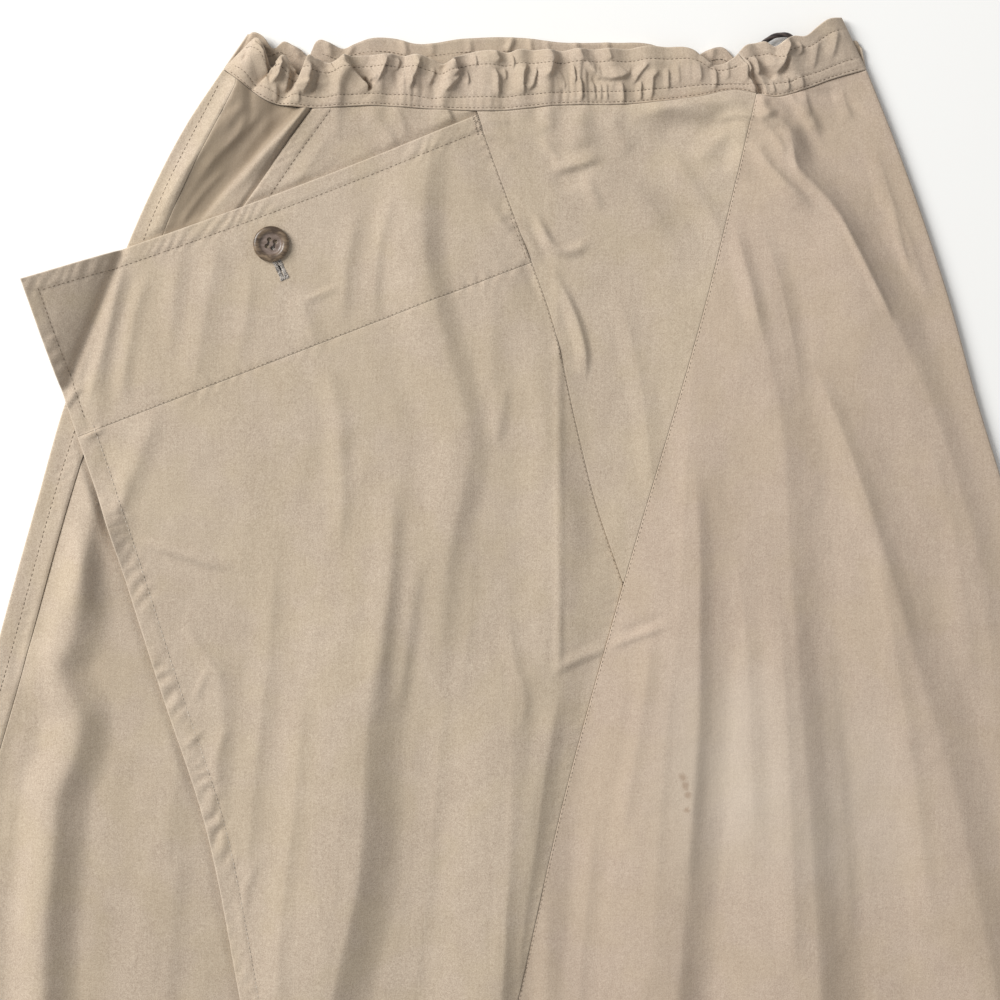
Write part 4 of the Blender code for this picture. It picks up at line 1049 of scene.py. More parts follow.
def paler_patches(points):
    """Where the cotton is palest, in patches low on the right of the picture."""
    x, y = points[..., 0], points[..., 1]
    bent_x, bent_y = x + 9 * crumple(x, y, 38, 44, 51), y + 9 * crumple(x, y, 46, 36, 52)
    pale = [
        strength * ease(1.2 - np.hypot((bent_x - at_x) / wide, (bent_y - at_y) / long))
        for at_x, at_y, wide, long, strength in PALER_PLACES
    ]
    edge = 0.75 + 0.25 * crumple(x, y, 15, 20, 53)
    past_seam = ease((beside(long_seam, x, y) + 3) / 4)
    return PALER_SHARE * np.max(pale, axis=0) * edge * past_seam


def make_right_front():
    down = body_rows()
    left, right = plan(np.zeros_like(down), down)[2:]
    width = right - left
    turns = fold_turn(down)
    start = across_at(long_seam, down, SEAM_GAP / 2, WAIST_RIGHT)
    flat = columns_between(start, 1 - turns[:, 0], width, 197)
    under = columns_between(1 + turns[:, 0], 1 + (UNDER_SEAM - SEAM_GAP / 2) / width, width, 7)
    flat, under = flat[:, : -len(EDGE)], under[:, len(EDGE) :]
    across = np.concatenate([flat, 1 - turns, 1 + turns[:, ::-1], under], axis=1)
    finish = washed_cotton("washed_cotton_right", 0.02, STAINS, 0.2)
    edges = {"left": SEWN, "right": SEWN}
    forms = front_relief, front_lift
    piece = tube_piece("right_front", across, down, *forms, finish, WAIST_RIGHT, {"paler_patches": paler_patches}, edges)
    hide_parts("front_right_panel")
    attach(piece, "root")


def make_inset():
    apex = down_at(APEX_Y, long_seam)
    down = spaced(0, (apex - INSET_TIP) * LENGTH, 1.6) / LENGTH
    left, right = plan(np.zeros_like(down), down)[2:]
    start = across_at(wrap_seam, down, SEAM_GAP / 2)
    end = across_at(long_seam, down, -SEAM_GAP / 2)
    across = columns_between(start, end, right - left, 85)
    finish = washed_cotton("washed_cotton_inset", 0.01)
    edges = {"left": 0.15, "right": SEWN}
    piece = tube_piece("inset", across, down, front_relief, front_lift, finish, edges=edges)
    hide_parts("front_inset")
    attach(piece, "root")


make_right_front()
make_inset()

# ---------------------------------------------------------------------------------------------------------
# The wrap panel: a second front layer that is sewn in along the inset and hangs free on its other side. A
# deep band is joined across its top. The top and the free side are turned in and topstitched as a hem.

BAND_SEAM_LEFT, BAND_SEAM_RIGHT = -192.5, -91
PANEL_IN_VIEW = 345  # below the band's seam
FLAP_VALLEY, FLAP_VALLEY_AT, FLAP_VALLEY_WIDTH = 1.6, 2, 5
FLAP_RISE, FLAP_RISE_OVER, FLAP_SLOPE = 7, 12, 0.25
FLAP_FREE, FLAP_CALM = 9, 10
TOP_HEM, BAND_SIDE_HEM, SIDE_HEM = 9.3, 7.5, 11  # from each edge to its topstitch
WRAP_HEM = 0.4  # the hems' extra thickness
WRAP_CREASES = creases(
    (11, 9, 0.9, (-246, -88), (-253, -116), (-259, -146), (-263, -176), (-266, -200)),
    (8, 7, 1.1, (-232, -92), (-240, -116), (-246, -146), (-250, -180)),
    (14, 13, 1.3, (-190, -66), (-195, -92), (-201, -122), (-205, -150), (-210, -178)),
    (9, 8, 0.7, (-214, -78), (-218, -108), (-222, -148)),
    (8, 7, 0.6, (-174, -84), (-176, -118), (-180, -150)),
    (10, 9, -0.7, (-262, -190), (-258, -206), (-256, -220)),
    (12, 10, 0.9, (-146, -104), (-141, -124), (-136, -144)),
    (12, 10, 1, (-132, -148), (-124, -174), (-117, -202)),
    (12, 8, 1.1, (-124, -176), (-121, -215), (-122, -264)),
    (9, 6, 1, (-26, -158), (-28, -178), (-33, -200)),
    (9, 5, 1.2, (-38, -54), (-28, -68), (-16, -82), (-10, -96)),
    (5, 4, -0.7, (-16, -88), (-11, -101), (-6, -116)),
    (5, 3.5, 0.9, (5, -126), (5, -183), (5, -241), (5, -287), (5, -334)),
    (9, 6, 0.9, (-25, -292), (-21, -322), (-15, -345), (-20, -370)),
    (12, 9, 1.2, (6, -330), (1, -362), (-4, -392), (-10, -438), (-16, -478), (-20, -530)),
    (10, 8, 0.8, (-22, -425), (-25, -461), (-28, -530)),
    (10, 8, 0.8, (-2, -440), (-2, -484), (-4, -540)),
    (15, 9, 1.4, (-94, -206), (-92, -256), (-97, -316), (-102, -362)),
    (10, 7, 1, (-76, -256), (-82, -306), (-90, -360)),
    (14, 10, 1.2, (-160, -250), (-164, -320), (-172, -390), (-178, -470)),
    (12, 9, 1, (-144, -330), (-148, -400), (-156, -470), (-160, -540)),
    (11, 8, 0.5, (-60, -330), (-66, -390), (-72, -460), (-82, -530)),
    (9, 6, 0.4, (-46, -240), (-48, -300), (-54, -360)),
    (10, 9, 0.7, (-34, -100), (-34, -150), (-30, -200)),
    (9, 6, 0.9, (-90, -46), (-100, -84), (-102, -130)),
    (10, 7, 0.9, (-110, -52), (-118, -90), (-121, -132)),
    (12, 9, 1, (-196, -300), (-190, -360), (-196, -420)),
    (12, 11, 1, (-190, -560), (-196, -640), (-206, -740)),
    (12, 11, 1, (-140, -570), (-146, -660), (-158, -760)),
    (11, 10, -0.9, (-96, -550), (-102, -640), (-112, -750)),
    (12, 10, 1, (-60, -580), (-68, -670), (-80, -770)),
    (3.5, 2, 1.5, (-258, -187), (-263.5, -190), (-268.5, -192.5), (-274, -195)),
    (4, 2, 1.5, (-271, -163), (-276, -167.5), (-280, -173.5), (-283, -177.5)),
    (3.5, 2, 1.4, (-201.5, -362), (-205.5, -366.5), (-209.5, -370), (-213.5, -374)),
    (4, 2.5, 0.9, (-198, -326.5), (-201.5, -333.5), (-204.5, -340.5), (-207, -347.5)),
    (3, 2, 0.7, (-284, -134.5), (-288.5, -136.5), (-292.5, -138)),
    (8, 3.5, 1.6, (-182.5, -269.5), (-195, -267.5), (-204.5, -264.5), (-215, -261.5), (-224, -258.5),
     (-233.5, -255), (-240.5, -251.5)),
    (7, 3.5, 1.5, (35.5, -314.5), (28.5, -317.5), (21.5, -320), (14, -323), (7, -326.5), (1, -331)),
    (13, 10, 1.5, (-228, -174), (-232.5, -188.5), (-238.5, -203), (-244, -220.5), (-250, -238)),
    (7, 6, 1, (-245.5, -209), (-247.5, -223.5), (-251, -236), (-254, -246.5)),
    (5, 3, 0.9, (-145.5, -113), (-138.5, -111), (-130.5, -107.5), (-122.5, -105)),
    (8, 5, 0.8, (-215, -298.5), (-206, -310.5), (-195.5, -326.5), (-188.5, -339.5)),
    (7, 5, 0.9, (-185, -356.5), (-191, -368.5), (-194.5, -383), (-193, -397.5)),
    (7, 5, 0.8, (-167.5, -432), (-174.5, -449.5), (-178, -467), (-175.5, -484.5)),
    (5, 4, 0.8, (-29.5, -24), (-26, -35), (-21, -47), (-16, -57.5)),
    (7, 7, 1.6, (-246.5, -87), (-252.5, -110), (-258.5, -135), (-264.5, -158.5), (-269.5, -179)),
)


def wrap_lift(x, y):
    """How far the wrap panel's large forms stand up: the front's folds, a valley past the skirt's left fold,
    and a rise to the flap's corner."""
    side = along(OUTLINE, "y", "left", y)
    past = side - x
    valley = (1 - np.clip(np.abs(past - FLAP_VALLEY_AT) / FLAP_VALLEY_WIDTH, 0, 1) ** 2) ** 2
    beyond = np.maximum(past - FLAP_VALLEY_AT, 0)
    rise = FLAP_RISE * (1 - np.exp(-beyond / FLAP_RISE_OVER)) + FLAP_SLOPE * beyond
    free = ease((side - free_edge(y)) / FLAP_FREE)
    folds = front_lift(x, y) * ease(-past / FLAP_CALM)
    return folds + free * (rise - FLAP_VALLEY * valley) - SEAM_SINK * near_wrap_seam(x, y)


def band_seam_y(x):
    """The seam across the wrap panel, below its band."""
    left, right = free_edge(BAND_SEAM_LEFT), wrap_seam(BAND_SEAM_RIGHT)
    return BAND_SEAM_LEFT + (BAND_SEAM_RIGHT - BAND_SEAM_LEFT) * (x - left) / (right - left)


def level_distance(path, x, y):
    """How far a place lies below a line across the skirt."""
    slope = (path(x + 1) - path(x - 1)) / 2
    return (path(x) - y) / np.sqrt(1 + slope**2)


def wrap_relief(x, y):
    """The wrap panel's full height: hems of three layers, with puckers between their edge and topstitch."""
    below_top, inside = level_distance(wrap_top_y, x, y), beside(free_edge, x, y)
    on_band = ease((y - band_seam_y(x)) / 3 + 0.5)
    side_hem = SIDE_HEM + (BAND_SIDE_HEM - SIDE_HEM) * on_band
    hems = np.maximum(ease((TOP_HEM + 0.8 - below_top) / 1.6), ease((side_hem + 0.8 - inside) / 1.6))
    stitched = 0.3 * (groove(below_top - TOP_HEM) + groove(inside - side_hem))
    pulled = 0.6 * puckers(below_top - 0.62 * TOP_HEM, x, 6, 7.5, 61)
    lower = 0.45 + 0.55 * ease((-y - 200) / 130)
    pulled = pulled + 1.05 * lower * puckers(inside - 0.55 * side_hem, y, 6.5, 9, 63, -0.8)
    seam = np.abs(level_distance(band_seam_y, x, y))
    joined = 0.15 * groove(seam - 0.8) + 0.4 * puckers(seam, x, 6, 9, 65)
    fine = creases_height(x, y, WRAP_CREASES) + washed(x, y) + seam_puckers(x, y)
    return wrap_lift(x, y) + fine + WRAP_HEM * hems + stitched + pulled + joined


def wrap_grid(left_y, right_y, down, count, sag=0):
    """Places of a stretch of the wrap panel, between two heights at its free edge and two at its seam."""
    down = down[:, None]
    left = left_y[0] + (left_y[1] - left_y[0]) * down
    seam = right_y[0] + (right_y[1] - right_y[0]) * down
    start, end = free_edge(left), wrap_seam(seam) - SEAM_GAP / 2
    across = columns_between(np.zeros(len(down)), np.ones(len(down)), (end - start)[:, 0], count)
    x = start + (end - start) * across
    return x, left + (seam - left) * across - 4 * sag * (1 - down) * across * (1 - across)


def wrap_piece(name, x, y, finish, above_hem, edges):
    rows, columns = kept_lines(x.shape[0]), kept_lines(x.shape[1])
    drop = edge_drop(*x.shape, right=SEWN, **edges)
    relief = wrap_relief(x, y) + hem_relief(above_hem[:, None], x, 1)
    outer = np.stack([x, y, FRONT_Z + LAYER + relief - drop], axis=-1)
    least = lowest_about(outer[..., 2])[np.ix_(rows, columns)] - LEAST_CLOTH
    x, y = x[np.ix_(rows, columns)], y[np.ix_(rows, columns)]
    inner = np.stack([x, y, np.minimum(FRONT_Z + LAYER - CLOTH + wrap_lift(x, y), least)], axis=-1)
    return cloth_shell(name, outer, inner, rows, columns, finish, {"wear": drop / EDGE_DROP})


def wrap_hem_ends():
    """Heights at which the wrap panel's free edge and its seam reach the hem."""
    hem = np.ones(1)
    return [plan(across_at(edge, hem), hem)[1][0] for edge in (free_edge, wrap_seam)]


def make_wrap():
    fine = 1.3
    left = WRAP_TOP_LEFT, BAND_SEAM_LEFT + SEAM_GAP / 2
    right = WRAP_TOP_RIGHT, BAND_SEAM_RIGHT + SEAM_GAP / 2
    down = spaced(0, left[0] - left[1], fine) / (left[0] - left[1])
    band = wrap_piece(
        "wrap_band",
        *wrap_grid(left, right, down, round(290 / fine), WRAP_TOP_SAG),
        washed_cotton("washed_cotton_band", 0.0),
        LENGTH + 0 * down,
        {"bottom": SEWN},
    )
    hem_left, hem_right = wrap_hem_ends()
    left, right = (BAND_SEAM_LEFT - SEAM_GAP / 2, hem_left), (BAND_SEAM_RIGHT - SEAM_GAP / 2, hem_right)
    long = left[0] - left[1]
    seen = spaced(0, PANEL_IN_VIEW, FINE)[: -len(EDGE) + 1]
    down = np.concatenate([seen, spaced(PANEL_IN_VIEW, long, WIDE)[len(EDGE) :]]) / long
    grid = wrap_grid(left, right, down, 173)
    finish = washed_cotton("washed_cotton_wrap")
    panel = wrap_piece("wrap_panel", *grid, finish, (1 - down) * long, {"top": SEWN})
    for piece, node in ((band, "overlay_band"), (panel, "overlay_panel")):
        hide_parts(node)
        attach(piece, "root")


make_wrap()

# ---------------------------------------------------------------------------------------------------------
# The waistband: a casing of doubled cotton with flat elastic in it, which gathers it into ruffles. Two rows
# of stitching hold the elastic, and the cloth above the upper row stands up as a frill. The front of it is
# joined above the long seam.

BAND_CLOTH = 1.6
BAND_FOLD_RADIUS = 2.6
WAIST_GAP, BACK_WAIST_GAP = 0.15, 0.5
JOINT_SHIFT = 2  # how far left of the long seam the waistband's joint starts
GATHER_CURVE, BACK_GATHER_CURVE = 0.8, 6
BAND_END_CALM = 4
GATHER_RISE = 1.35  # the gathers stand this much higher than the band's plain form
GATHER_MM = 5.2  # between the small gathers
SMOOTH_FROM, SMOOTH_TO, GATHERS_END = 36, 108, 140  # they are weaker between the first two, and past the last
RUFFLE_LEAN = 0.8  # sideways, as a share of a ruffle's height
BAND_HIGH = 34
BAND_ROWS = (0.045, 0.23, 0.77)  # rows of stitches, as shares of the band's height from the seam
BACK_ROW = 0.79  # the one that shows inside the back
GATHERS_BACK = table(
    "x y z",
    (-177, 42, 2), (-171, 42.3, 4), (-166.5, 39.4, 3), (-162.5, 34, 0.5), (-155, 37.5, 2), (-149, 34.8, 1),
    (-145.5, 33, 0.5), (-140.4, 29.6, 0), (-137.3, 36.6, 1), (-134.5, 38.4, 2), (-129.3, 37, 2),
    (-120.6, 33.6, 0.5), (-114, 36.4, 0.6), (-106, 39.2, 1), (-91, 39.4, 0.6), (-80, 36.5, 1), (-50, 39.4, 1),
    (-18, 40, 0.6), (8, 37, 1), (37, 37, 0.6), (59, 36, 0.4), (80, 27, 0), (92, 33, 0.5), (101, 34, 0.5),
    (108, 27, 0), (130, 24, 0), (158, 27, 0), (172, 36, 0.5), (178, 38, 0.8), (181.5, 34, 0),
)


BAND_CREASES = creases(
    (5, 1.4, 3, (-171, 35.5), (-168, 28.5), (-166.5, 21.5), (-165.5, 13.5)),
    (2.5, 2.5, -2, (-164, 27.5), (-163, 20.5), (-162.5, 14.5), (-162, 10)),
    (3, 1.4, 3, (-155.5, 28), (-158, 21.5), (-160.5, 15), (-163, 11)),
    (3, 1.6, 2.2, (-152, 23), (-153, 17), (-154.5, 10.5), (-155, 6)),
    (2.5, 2.5, -1.6, (-150, 21.5), (-151, 14.5), (-151.5, 8.5)),
    (4, 1.5, 3.4, (-139, 26), (-141, 18), (-143.5, 11), (-144.5, 5)),
    (3, 3, -2, (-135.5, 22.5), (-137, 14.5), (-139, 8.5), (-142, 4)),
    (9, 1.8, 3.8, (-123.5, 26), (-116.5, 19.5), (-112, 15), (-107.5, 10), (-104.5, 6)),
    (2.4, 2.4, -4, (-109, 17), (-106.5, 12), (-105, 8)),
    (1.8, 1.8, -1.6, (-103, 16), (-104.5, 12), (-105.5, 9.5)),
    (6, 5, 1.4, (-133, 21.5), (-131.5, 15.5), (-130.5, 10)),
    (4, 3, 2.2, (-122, 30), (-119.5, 25), (-116, 20.5)),
    (2, 2, -1.6, (-175, 35.5), (-177, 29.5), (-179, 24.5)),
    (3, 1.6, 1, (-159.5, 12), (-159.5, 6.5), (-160, 1)),
    (3, 1.6, 1, (-147.5, 11), (-146.5, 5), (-147.5, -0.5)),
    (5, 2, 2.2, (-94, 30), (-97, 24), (-100, 18), (-102, 11.5)),
    (5, 2, 2.2, (-75, 29.5), (-78.5, 22.5), (-81, 16), (-82.5, 8.5)),
    (4, 2.4, 1, (-86, 22.5), (-85.5, 15.5), (-87.5, 10)),
    (5, 1.4, 3, (-58.5, 29), (-56.5, 24), (-55.5, 20.5), (-57.5, 16)),
    (4, 4, -1.6, (-62.5, 24.5), (-61, 20.5), (-59, 16)),
    (4, 2, 1.8, (-53.5, 22), (-55.5, 14.5), (-60.5, 10), (-63, 7)),
    (2.5, 1.6, 1.3, (-50, 21.5), (-48.5, 15.5), (-48.5, 11)),
    (4, 2, 1.2, (-46, 30.5), (-44, 26), (-44.5, 21)),
    (3, 1.8, 1.9, (-33, 22.5), (-31.5, 15.5), (-31.5, 8.5), (-30.5, 3.5)),
    (4, 2.5, 1.6, (-33.5, 32.5), (-31.5, 28.5), (-29.5, 24.5)),
    (3, 1.8, 1.1, (-28, 22), (-26.5, 18), (-27.5, 13.5)),
    (5, 2, 2.2, (-13, 26), (-17, 19), (-18, 14.5), (-17, 10), (-15.5, 4.5)),
    (4, 2, 1.9, (-8.5, 24), (-10, 17), (-11.5, 12), (-14.5, 7.5)),
    (5, 4.5, 2.2, (-2.5, 34), (0.5, 28.5), (0, 22), (-3.5, 17), (-7.5, 14.5)),
    (7, 2.2, 2.6, (46.5, 24), (44, 18), (37, 16), (28.5, 16), (23, 19.5), (20.5, 25), (17.5, 30.5)),
    (2.4, 1.4, 1.4, (15.5, 18), (17, 11), (17.5, 1.5)),
    (2.2, 1.4, 1.1, (24, 14.5), (25, 8.5), (25.5, 1.5)),
    (2.2, 1.4, 1.1, (28, 14.5), (28.5, 8.5), (28.5, 1.5)),
    (2.2, 1.4, 1.1, (31.5, 14.5), (32, 8.5), (32, 1)),
    (2.6, 1.6, 1.5, (40.5, 14.5), (41, 7.5), (42, -0.5)),
    (4, 2, 1.7, (57.5, 25.5), (53, 21.5), (49.5, 17), (46.5, 11)),
    (4, 2, 1.7, (64, 21), (58.5, 17), (58, 10), (57.5, 1.5)),
    (5, 3, 1.3, (32, 34), (33.5, 29.5), (35, 25.5)),
    (4, 3, 1.2, (15.5, 33), (18, 27.5), (19, 24)),
    (5, 3, 0.8, (72.5, 26), (74, 19), (73.5, 11)),
    (4, 2.5, 1, (101.5, 27.5), (102.5, 20.5), (102, 13.5)),
    (4, 2.5, 1, (84.5, 26), (86.5, 19), (86, 12)),
    (5, 2.5, 1.4, (88.5, 30.5), (91, 26), (94, 22.5)),
    (6, 1.6, 2.4, (108.5, 29.5), (113, 24.5), (115.5, 18.5), (119, 12), (121, 6)),
    (3.5, 3, -5, (113.5, 21), (117.5, 16.5), (121, 11), (123, 4)),
    (2.5, 1.6, 2, (117, 28.5), (119, 22), (120, 15.5)),
    (3, 3, -1.6, (121, 21), (126, 18.5), (130.5, 15)),
    (5, 3, 1.6, (129.5, 28.5), (128, 24), (127, 20.5)),
    (5, 1.3, 3.8, (138, 39), (135.5, 32), (133, 25), (130, 17)),
    (3, 3, -1.6, (138.5, 29.5), (135, 21.5), (134, 15)),
    (3, 1.6, 1.5, (142.5, 36.5), (145, 32), (142, 27.5)),
    (2.5, 1.6, 1, (127.5, 14.5), (129, 10), (129.5, 6)),
    (2.5, 1.6, 1, (136.5, 17), (137.5, 12), (137.5, 7.5)),
    (3, 1.8, 0.9, (144, 18), (145.5, 13.5), (146, 8.5)),
    (5, 3, 1, (155, 39), (153, 29), (151.5, 19)),
    (5, 3, 1, (166.5, 46), (164, 34), (162, 25)),
    (3, 1.4, 1.8, (-174, 39), (-171.5, 35), (-168, 32), (-166.5, 27.5)),
    (2.5, 1.4, 2.2, (-159.5, 25), (-162, 20.5), (-163, 17)),
    (3, 1.5, 2.4, (-144, 26), (-147.5, 21.5), (-151, 18)),
    (3, 1.4, 1.6, (-130, 27.5), (-128, 22.5), (-124.5, 19)),
    (3, 2, 1.4, (-149, 11), (-144, 13.5), (-138.5, 14.5)),
    (4, 2, 1.3, (-107.5, 24), (-104, 19), (-102.5, 13.5)),
    (3, 1.5, 1.4, (-89.5, 28.5), (-88.5, 24), (-91.5, 19)),
    (4, 2, 1.2, (-68, 22.5), (-69, 17), (-71.5, 11)),
    (3, 1.5, 1.3, (-24.5, 30.5), (-22, 26), (-22.5, 20.5)),
    (3, 1.6, 1.2, (4.5, 20.5), (7, 14.5), (7.5, 7.5)),
    (3, 1.6, 1.2, (11.5, 25), (13, 18), (14, 12)),
    (3, 1.6, 1.3, (52, 15.5), (51.5, 8.5), (52, 1.5)),
    (3, 1.6, 1.2, (68, 22.5), (67.5, 15.5), (68, 7.5)),
    (3, 1.6, 1.2, (94, 24), (95.5, 17), (95, 8.5)),
    (4, 1.8, 1.5, (111, 26), (112, 19), (113, 12)),
)
BACK_BAND_CREASES = creases(
    (5, 2.5, 2.2, (-167.5, 43.5), (-164, 36.5), (-162, 29.5)),
    (4, 2.5, 1.8, (-151, 36.5), (-147.5, 32), (-144.5, 27.5)),
    (5, 3, 1.5, (-131, 39), (-128, 33), (-128, 27.5)),
    (4, 3, 1.2, (-113.5, 36.5), (-116.5, 32), (-119, 27.5)),
    (4, 2.5, 1.6, (-86.5, 40), (-84.5, 34), (-83.5, 28.5)),
    (5, 3, 1, (-70, 39), (-68.5, 34), (-69, 28.5)),
    (4, 2, 2.2, (-21, 41), (-23, 36.5), (-25, 30.5)),
    (3, 2.5, 1.3, (-13, 40), (-11.5, 35.5), (-11.5, 30.5)),
    (4, 2.5, 1, (-3, 39), (-1, 34), (0.5, 29.5)),
    (4, 2.5, 1.4, (14.5, 39), (15.5, 34), (15.5, 29.5)),
    (4, 2.5, 1.3, (32.5, 39), (33.5, 34), (34, 30.5)),
    (4, 2.5, 1, (-48, 39), (-46.5, 34), (-47, 29.5)),
    (4, 3, 1.2, (95, 36.5), (94.5, 30.5), (93.5, 26)),
    (3, 3, -1.6, (178, 35.5), (180, 30.5), (181.5, 26)),
)


def band_place(gathers, x, up, side, fine=True):
    """Outer points of the waistband and the way out of its wall, on the front (side 1) or the back (side -1).
    x is along its top edge, and up runs 0 to 1 from the seam to that edge. Its ruffles lean to the right."""
    seam = seam_of(x, gathers) + (along(gathers, "x", "lean", x) if "lean" in gathers else 0)
    top_y, top_z = along(gathers, "x", "y", x), np.maximum(along(gathers, "x", "z", x), 0)
    plan_x = seam + (x - seam) * up
    start = waist_y(seam, side < 0) + (WAIST_GAP if side > 0 else BACK_WAIST_GAP)
    y = start + (top_y - start) * up
    near = np.minimum(x - gathers["x"][0], gathers["x"][-1] - x)
    turn = np.arccos(1 - np.clip(near / BAND_FOLD_RADIUS, 0, 1))
    out = np.where(x < 0, -1, 1) * np.cos(turn) + 0 * up
    over = side * np.sin(turn) + 0 * up
    if side > 0:
        share = GATHER_AT_SEAM + (1 - GATHER_AT_SEAM) * up**GATHER_CURVE
    else:
        share = up**BACK_GATHER_CURVE
    flat_z = BAND_FOLD_RADIUS * (1 + over) + side * SEAM_GAP / 2 * (1 - np.sin(turn))
    lift = GATHER_RISE * top_z * share * ease(near / BAND_END_CALM)
    ruffles = band_ruffles(plan_x, y, up, side) * ease(near / BAND_END_CALM) if fine else 0 * plan_x
    leaned = plan_x + RUFFLE_LEAN * np.maximum(ruffles, 0)
    return np.stack([leaned, y, flat_z + lift + ruffles], axis=-1), np.stack([out, 0 * out, over], axis=-1)


def band_ruffles(x, y, up, side):
    """The small gathers in the casing: narrow ridges up the band, deepest between its rows of stitches."""
    if side < 0:
        return 0 * x
    casing = np.exp(-(((up - 0.5) / 0.3) ** 2))
    phase = x / GATHER_MM + 1.3 * crumple(x, y, 11, 60, 71) + 0.25 * crumple(x, y, 7, 9, 74)
    strength = np.clip(0.3 + 1.2 * crumple(x, y, 17, 30, 72), 0.06, 1.3) * (0.35 + 0.65 * casing)
    smoother = 0.75 * ease((x - SMOOTH_FROM) / 14) * ease((SMOOTH_TO - x) / 14)
    strength = strength * (1 - smoother) * (1 - 0.8 * ease((x - GATHERS_END) / 12))
    narrow = 0.65 * strength * (1.6 * np.abs(np.sin(math.pi * phase)) - 1)
    pulled = 0.3 * sum(groove((up - row) * BAND_HIGH, 0.8) for row in BAND_ROWS)
    return narrow + pulled + 0.2 * crumple(x, y, 5, 5, 73) + creases_height(x, y, BAND_CREASES)


def band_piece(name, gathers, x, side, finish, count):
    up_mm = spaced(0, BAND_HIGH, BAND_HIGH / count)
    up = (up_mm / up_mm[-1])[::-1, None]
    outer, way_out = band_place(gathers, x, up, side)
    drop = edge_drop(len(up), len(x))
    outer = outer - drop[..., None] * way_out
    every = KEPT if side > 0 else 1
    rows, columns = kept_lines(len(up), every), kept_lines(len(x), every)
    broad, way_out = band_place(gathers, x[columns], up[rows], side, fine=False)
    inner = broad - BAND_CLOTH * way_out
    if side > 0:
        least = lowest_about(outer[..., 2])[np.ix_(rows, columns)] - LEAST_CLOTH
        inner[..., 2] = np.where(way_out[..., 2] > 0.95, np.minimum(inner[..., 2], least), inner[..., 2])
    else:
        shown = creases_height(inner[..., 0], inner[..., 1], BACK_BAND_CREASES)
        inner[..., 2] += np.maximum(shown + 0.5 * crumple(inner[..., 0], inner[..., 1], 8, 20, 75), -0.6)
    return cloth_shell(name, outer, inner, rows, columns, finish, {"wear": drop / EDGE_DROP})


def make_waistband():
    finish = washed_cotton("washed_cotton_waistband", 0.01, (), 0.12)
    step = 0.6
    turns = BAND_FOLD_RADIUS * (1 - np.cos(np.radians([0, 20, 40, 60, 78])))
    first, last = GATHERS_FRONT["x"][[0, -1]]
    joint = np.interp(JOINT_X - JOINT_SHIFT, SEAM_ENDS, (first, last))
    left = spaced(first + BAND_FOLD_RADIUS, joint - SEAM_GAP, step)[len(EDGE) - 1 :]
    left = np.concatenate([first + turns, left])
    count = 54
    left_band = band_piece("waistband_left", GATHERS_FRONT, left, 1, finish, count)
    right = spaced(joint + SEAM_GAP, last - BAND_FOLD_RADIUS, step)[: -len(EDGE) + 1]
    right = np.concatenate([right, last - turns[::-1]])
    right_band = band_piece("waistband_right", GATHERS_FRONT, right, 1, finish, count)
    first, last = GATHERS_BACK["x"][[0, -1]]
    middle = np.linspace(last - BAND_FOLD_RADIUS, first + BAND_FOLD_RADIUS, 300)
    around = np.concatenate([last - turns, middle, first + turns[::-1]])
    back_band = band_piece("waistband_behind", GATHERS_BACK, around, -1, finish, 30)
    for piece, node in (
        (left_band, "waistband_front_left"),
        (right_band, "waistband_front_right"),
        (back_band, "waistband_back"),
    ):
        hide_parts(node)
        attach(piece, "root")


make_waistband()

# ---------------------------------------------------------------------------------------------------------
# The hanger loop: a short length of dark twisted cord inside the back of the waist, for hanging the skirt on
# a hook. Its ends are sewn in under the waistband.

LOOP = table(
    "place x y",
    (0, 119.5, 22), (1, 120.5, 29), (2, 123, 36), (3, 131, 41), (4, 139.5, 40.2), (5, 144, 31), (6, 144, 22),
)
LOOP_Z, LOOP_RADIUS = 3.6, 1.55
STRANDS, TWIST_MM = 3, 7.5  # the strands go once round the cord in that length


def brown_cord():
    # Twisted cotton cord, dyed dark: matt and a little fuzzy, with painted highlight on the strands' crests.
    finish, tree, shader = new_material("brown_twisted_cord")
    place = add_node(tree, "TexCoord").outputs["Object"]
    fibres = add_node(tree, "TexNoise", inputs={"Vector": place, "Scale": 1800, "Detail": 3}).outputs["Fac"]
    crest = add_node(tree, "Attribute", {"attribute_name": "crest"}).outputs["Fac"]
    share = add_node(tree, "Math", {"operation": "MULTIPLY"}, {0: crest, 1: fibres}).outputs[0]
    # Paler on the strands' crests and darker between them: painted highlight and painted shade.
    tones = {0: share, 6: linear("#211A19"), 7: linear("#6A5C55")}
    colour = add_node(tree, "Mix", {"data_type": "RGBA"}, tones).outputs[2]
    tree.links.new(colour, shader.inputs["Base Color"])
    shader.inputs["Roughness"].default_value = 0.85
    shader.inputs["Sheen Weight"].default_value = 0.25
    bump = add_node(tree, "Bump", inputs={"Height": fibres, "Strength": 0.5, "Distance": 0.15 * MM})
    tree.links.new(bump.outputs["Normal"], shader.inputs["Normal"])
    return finish


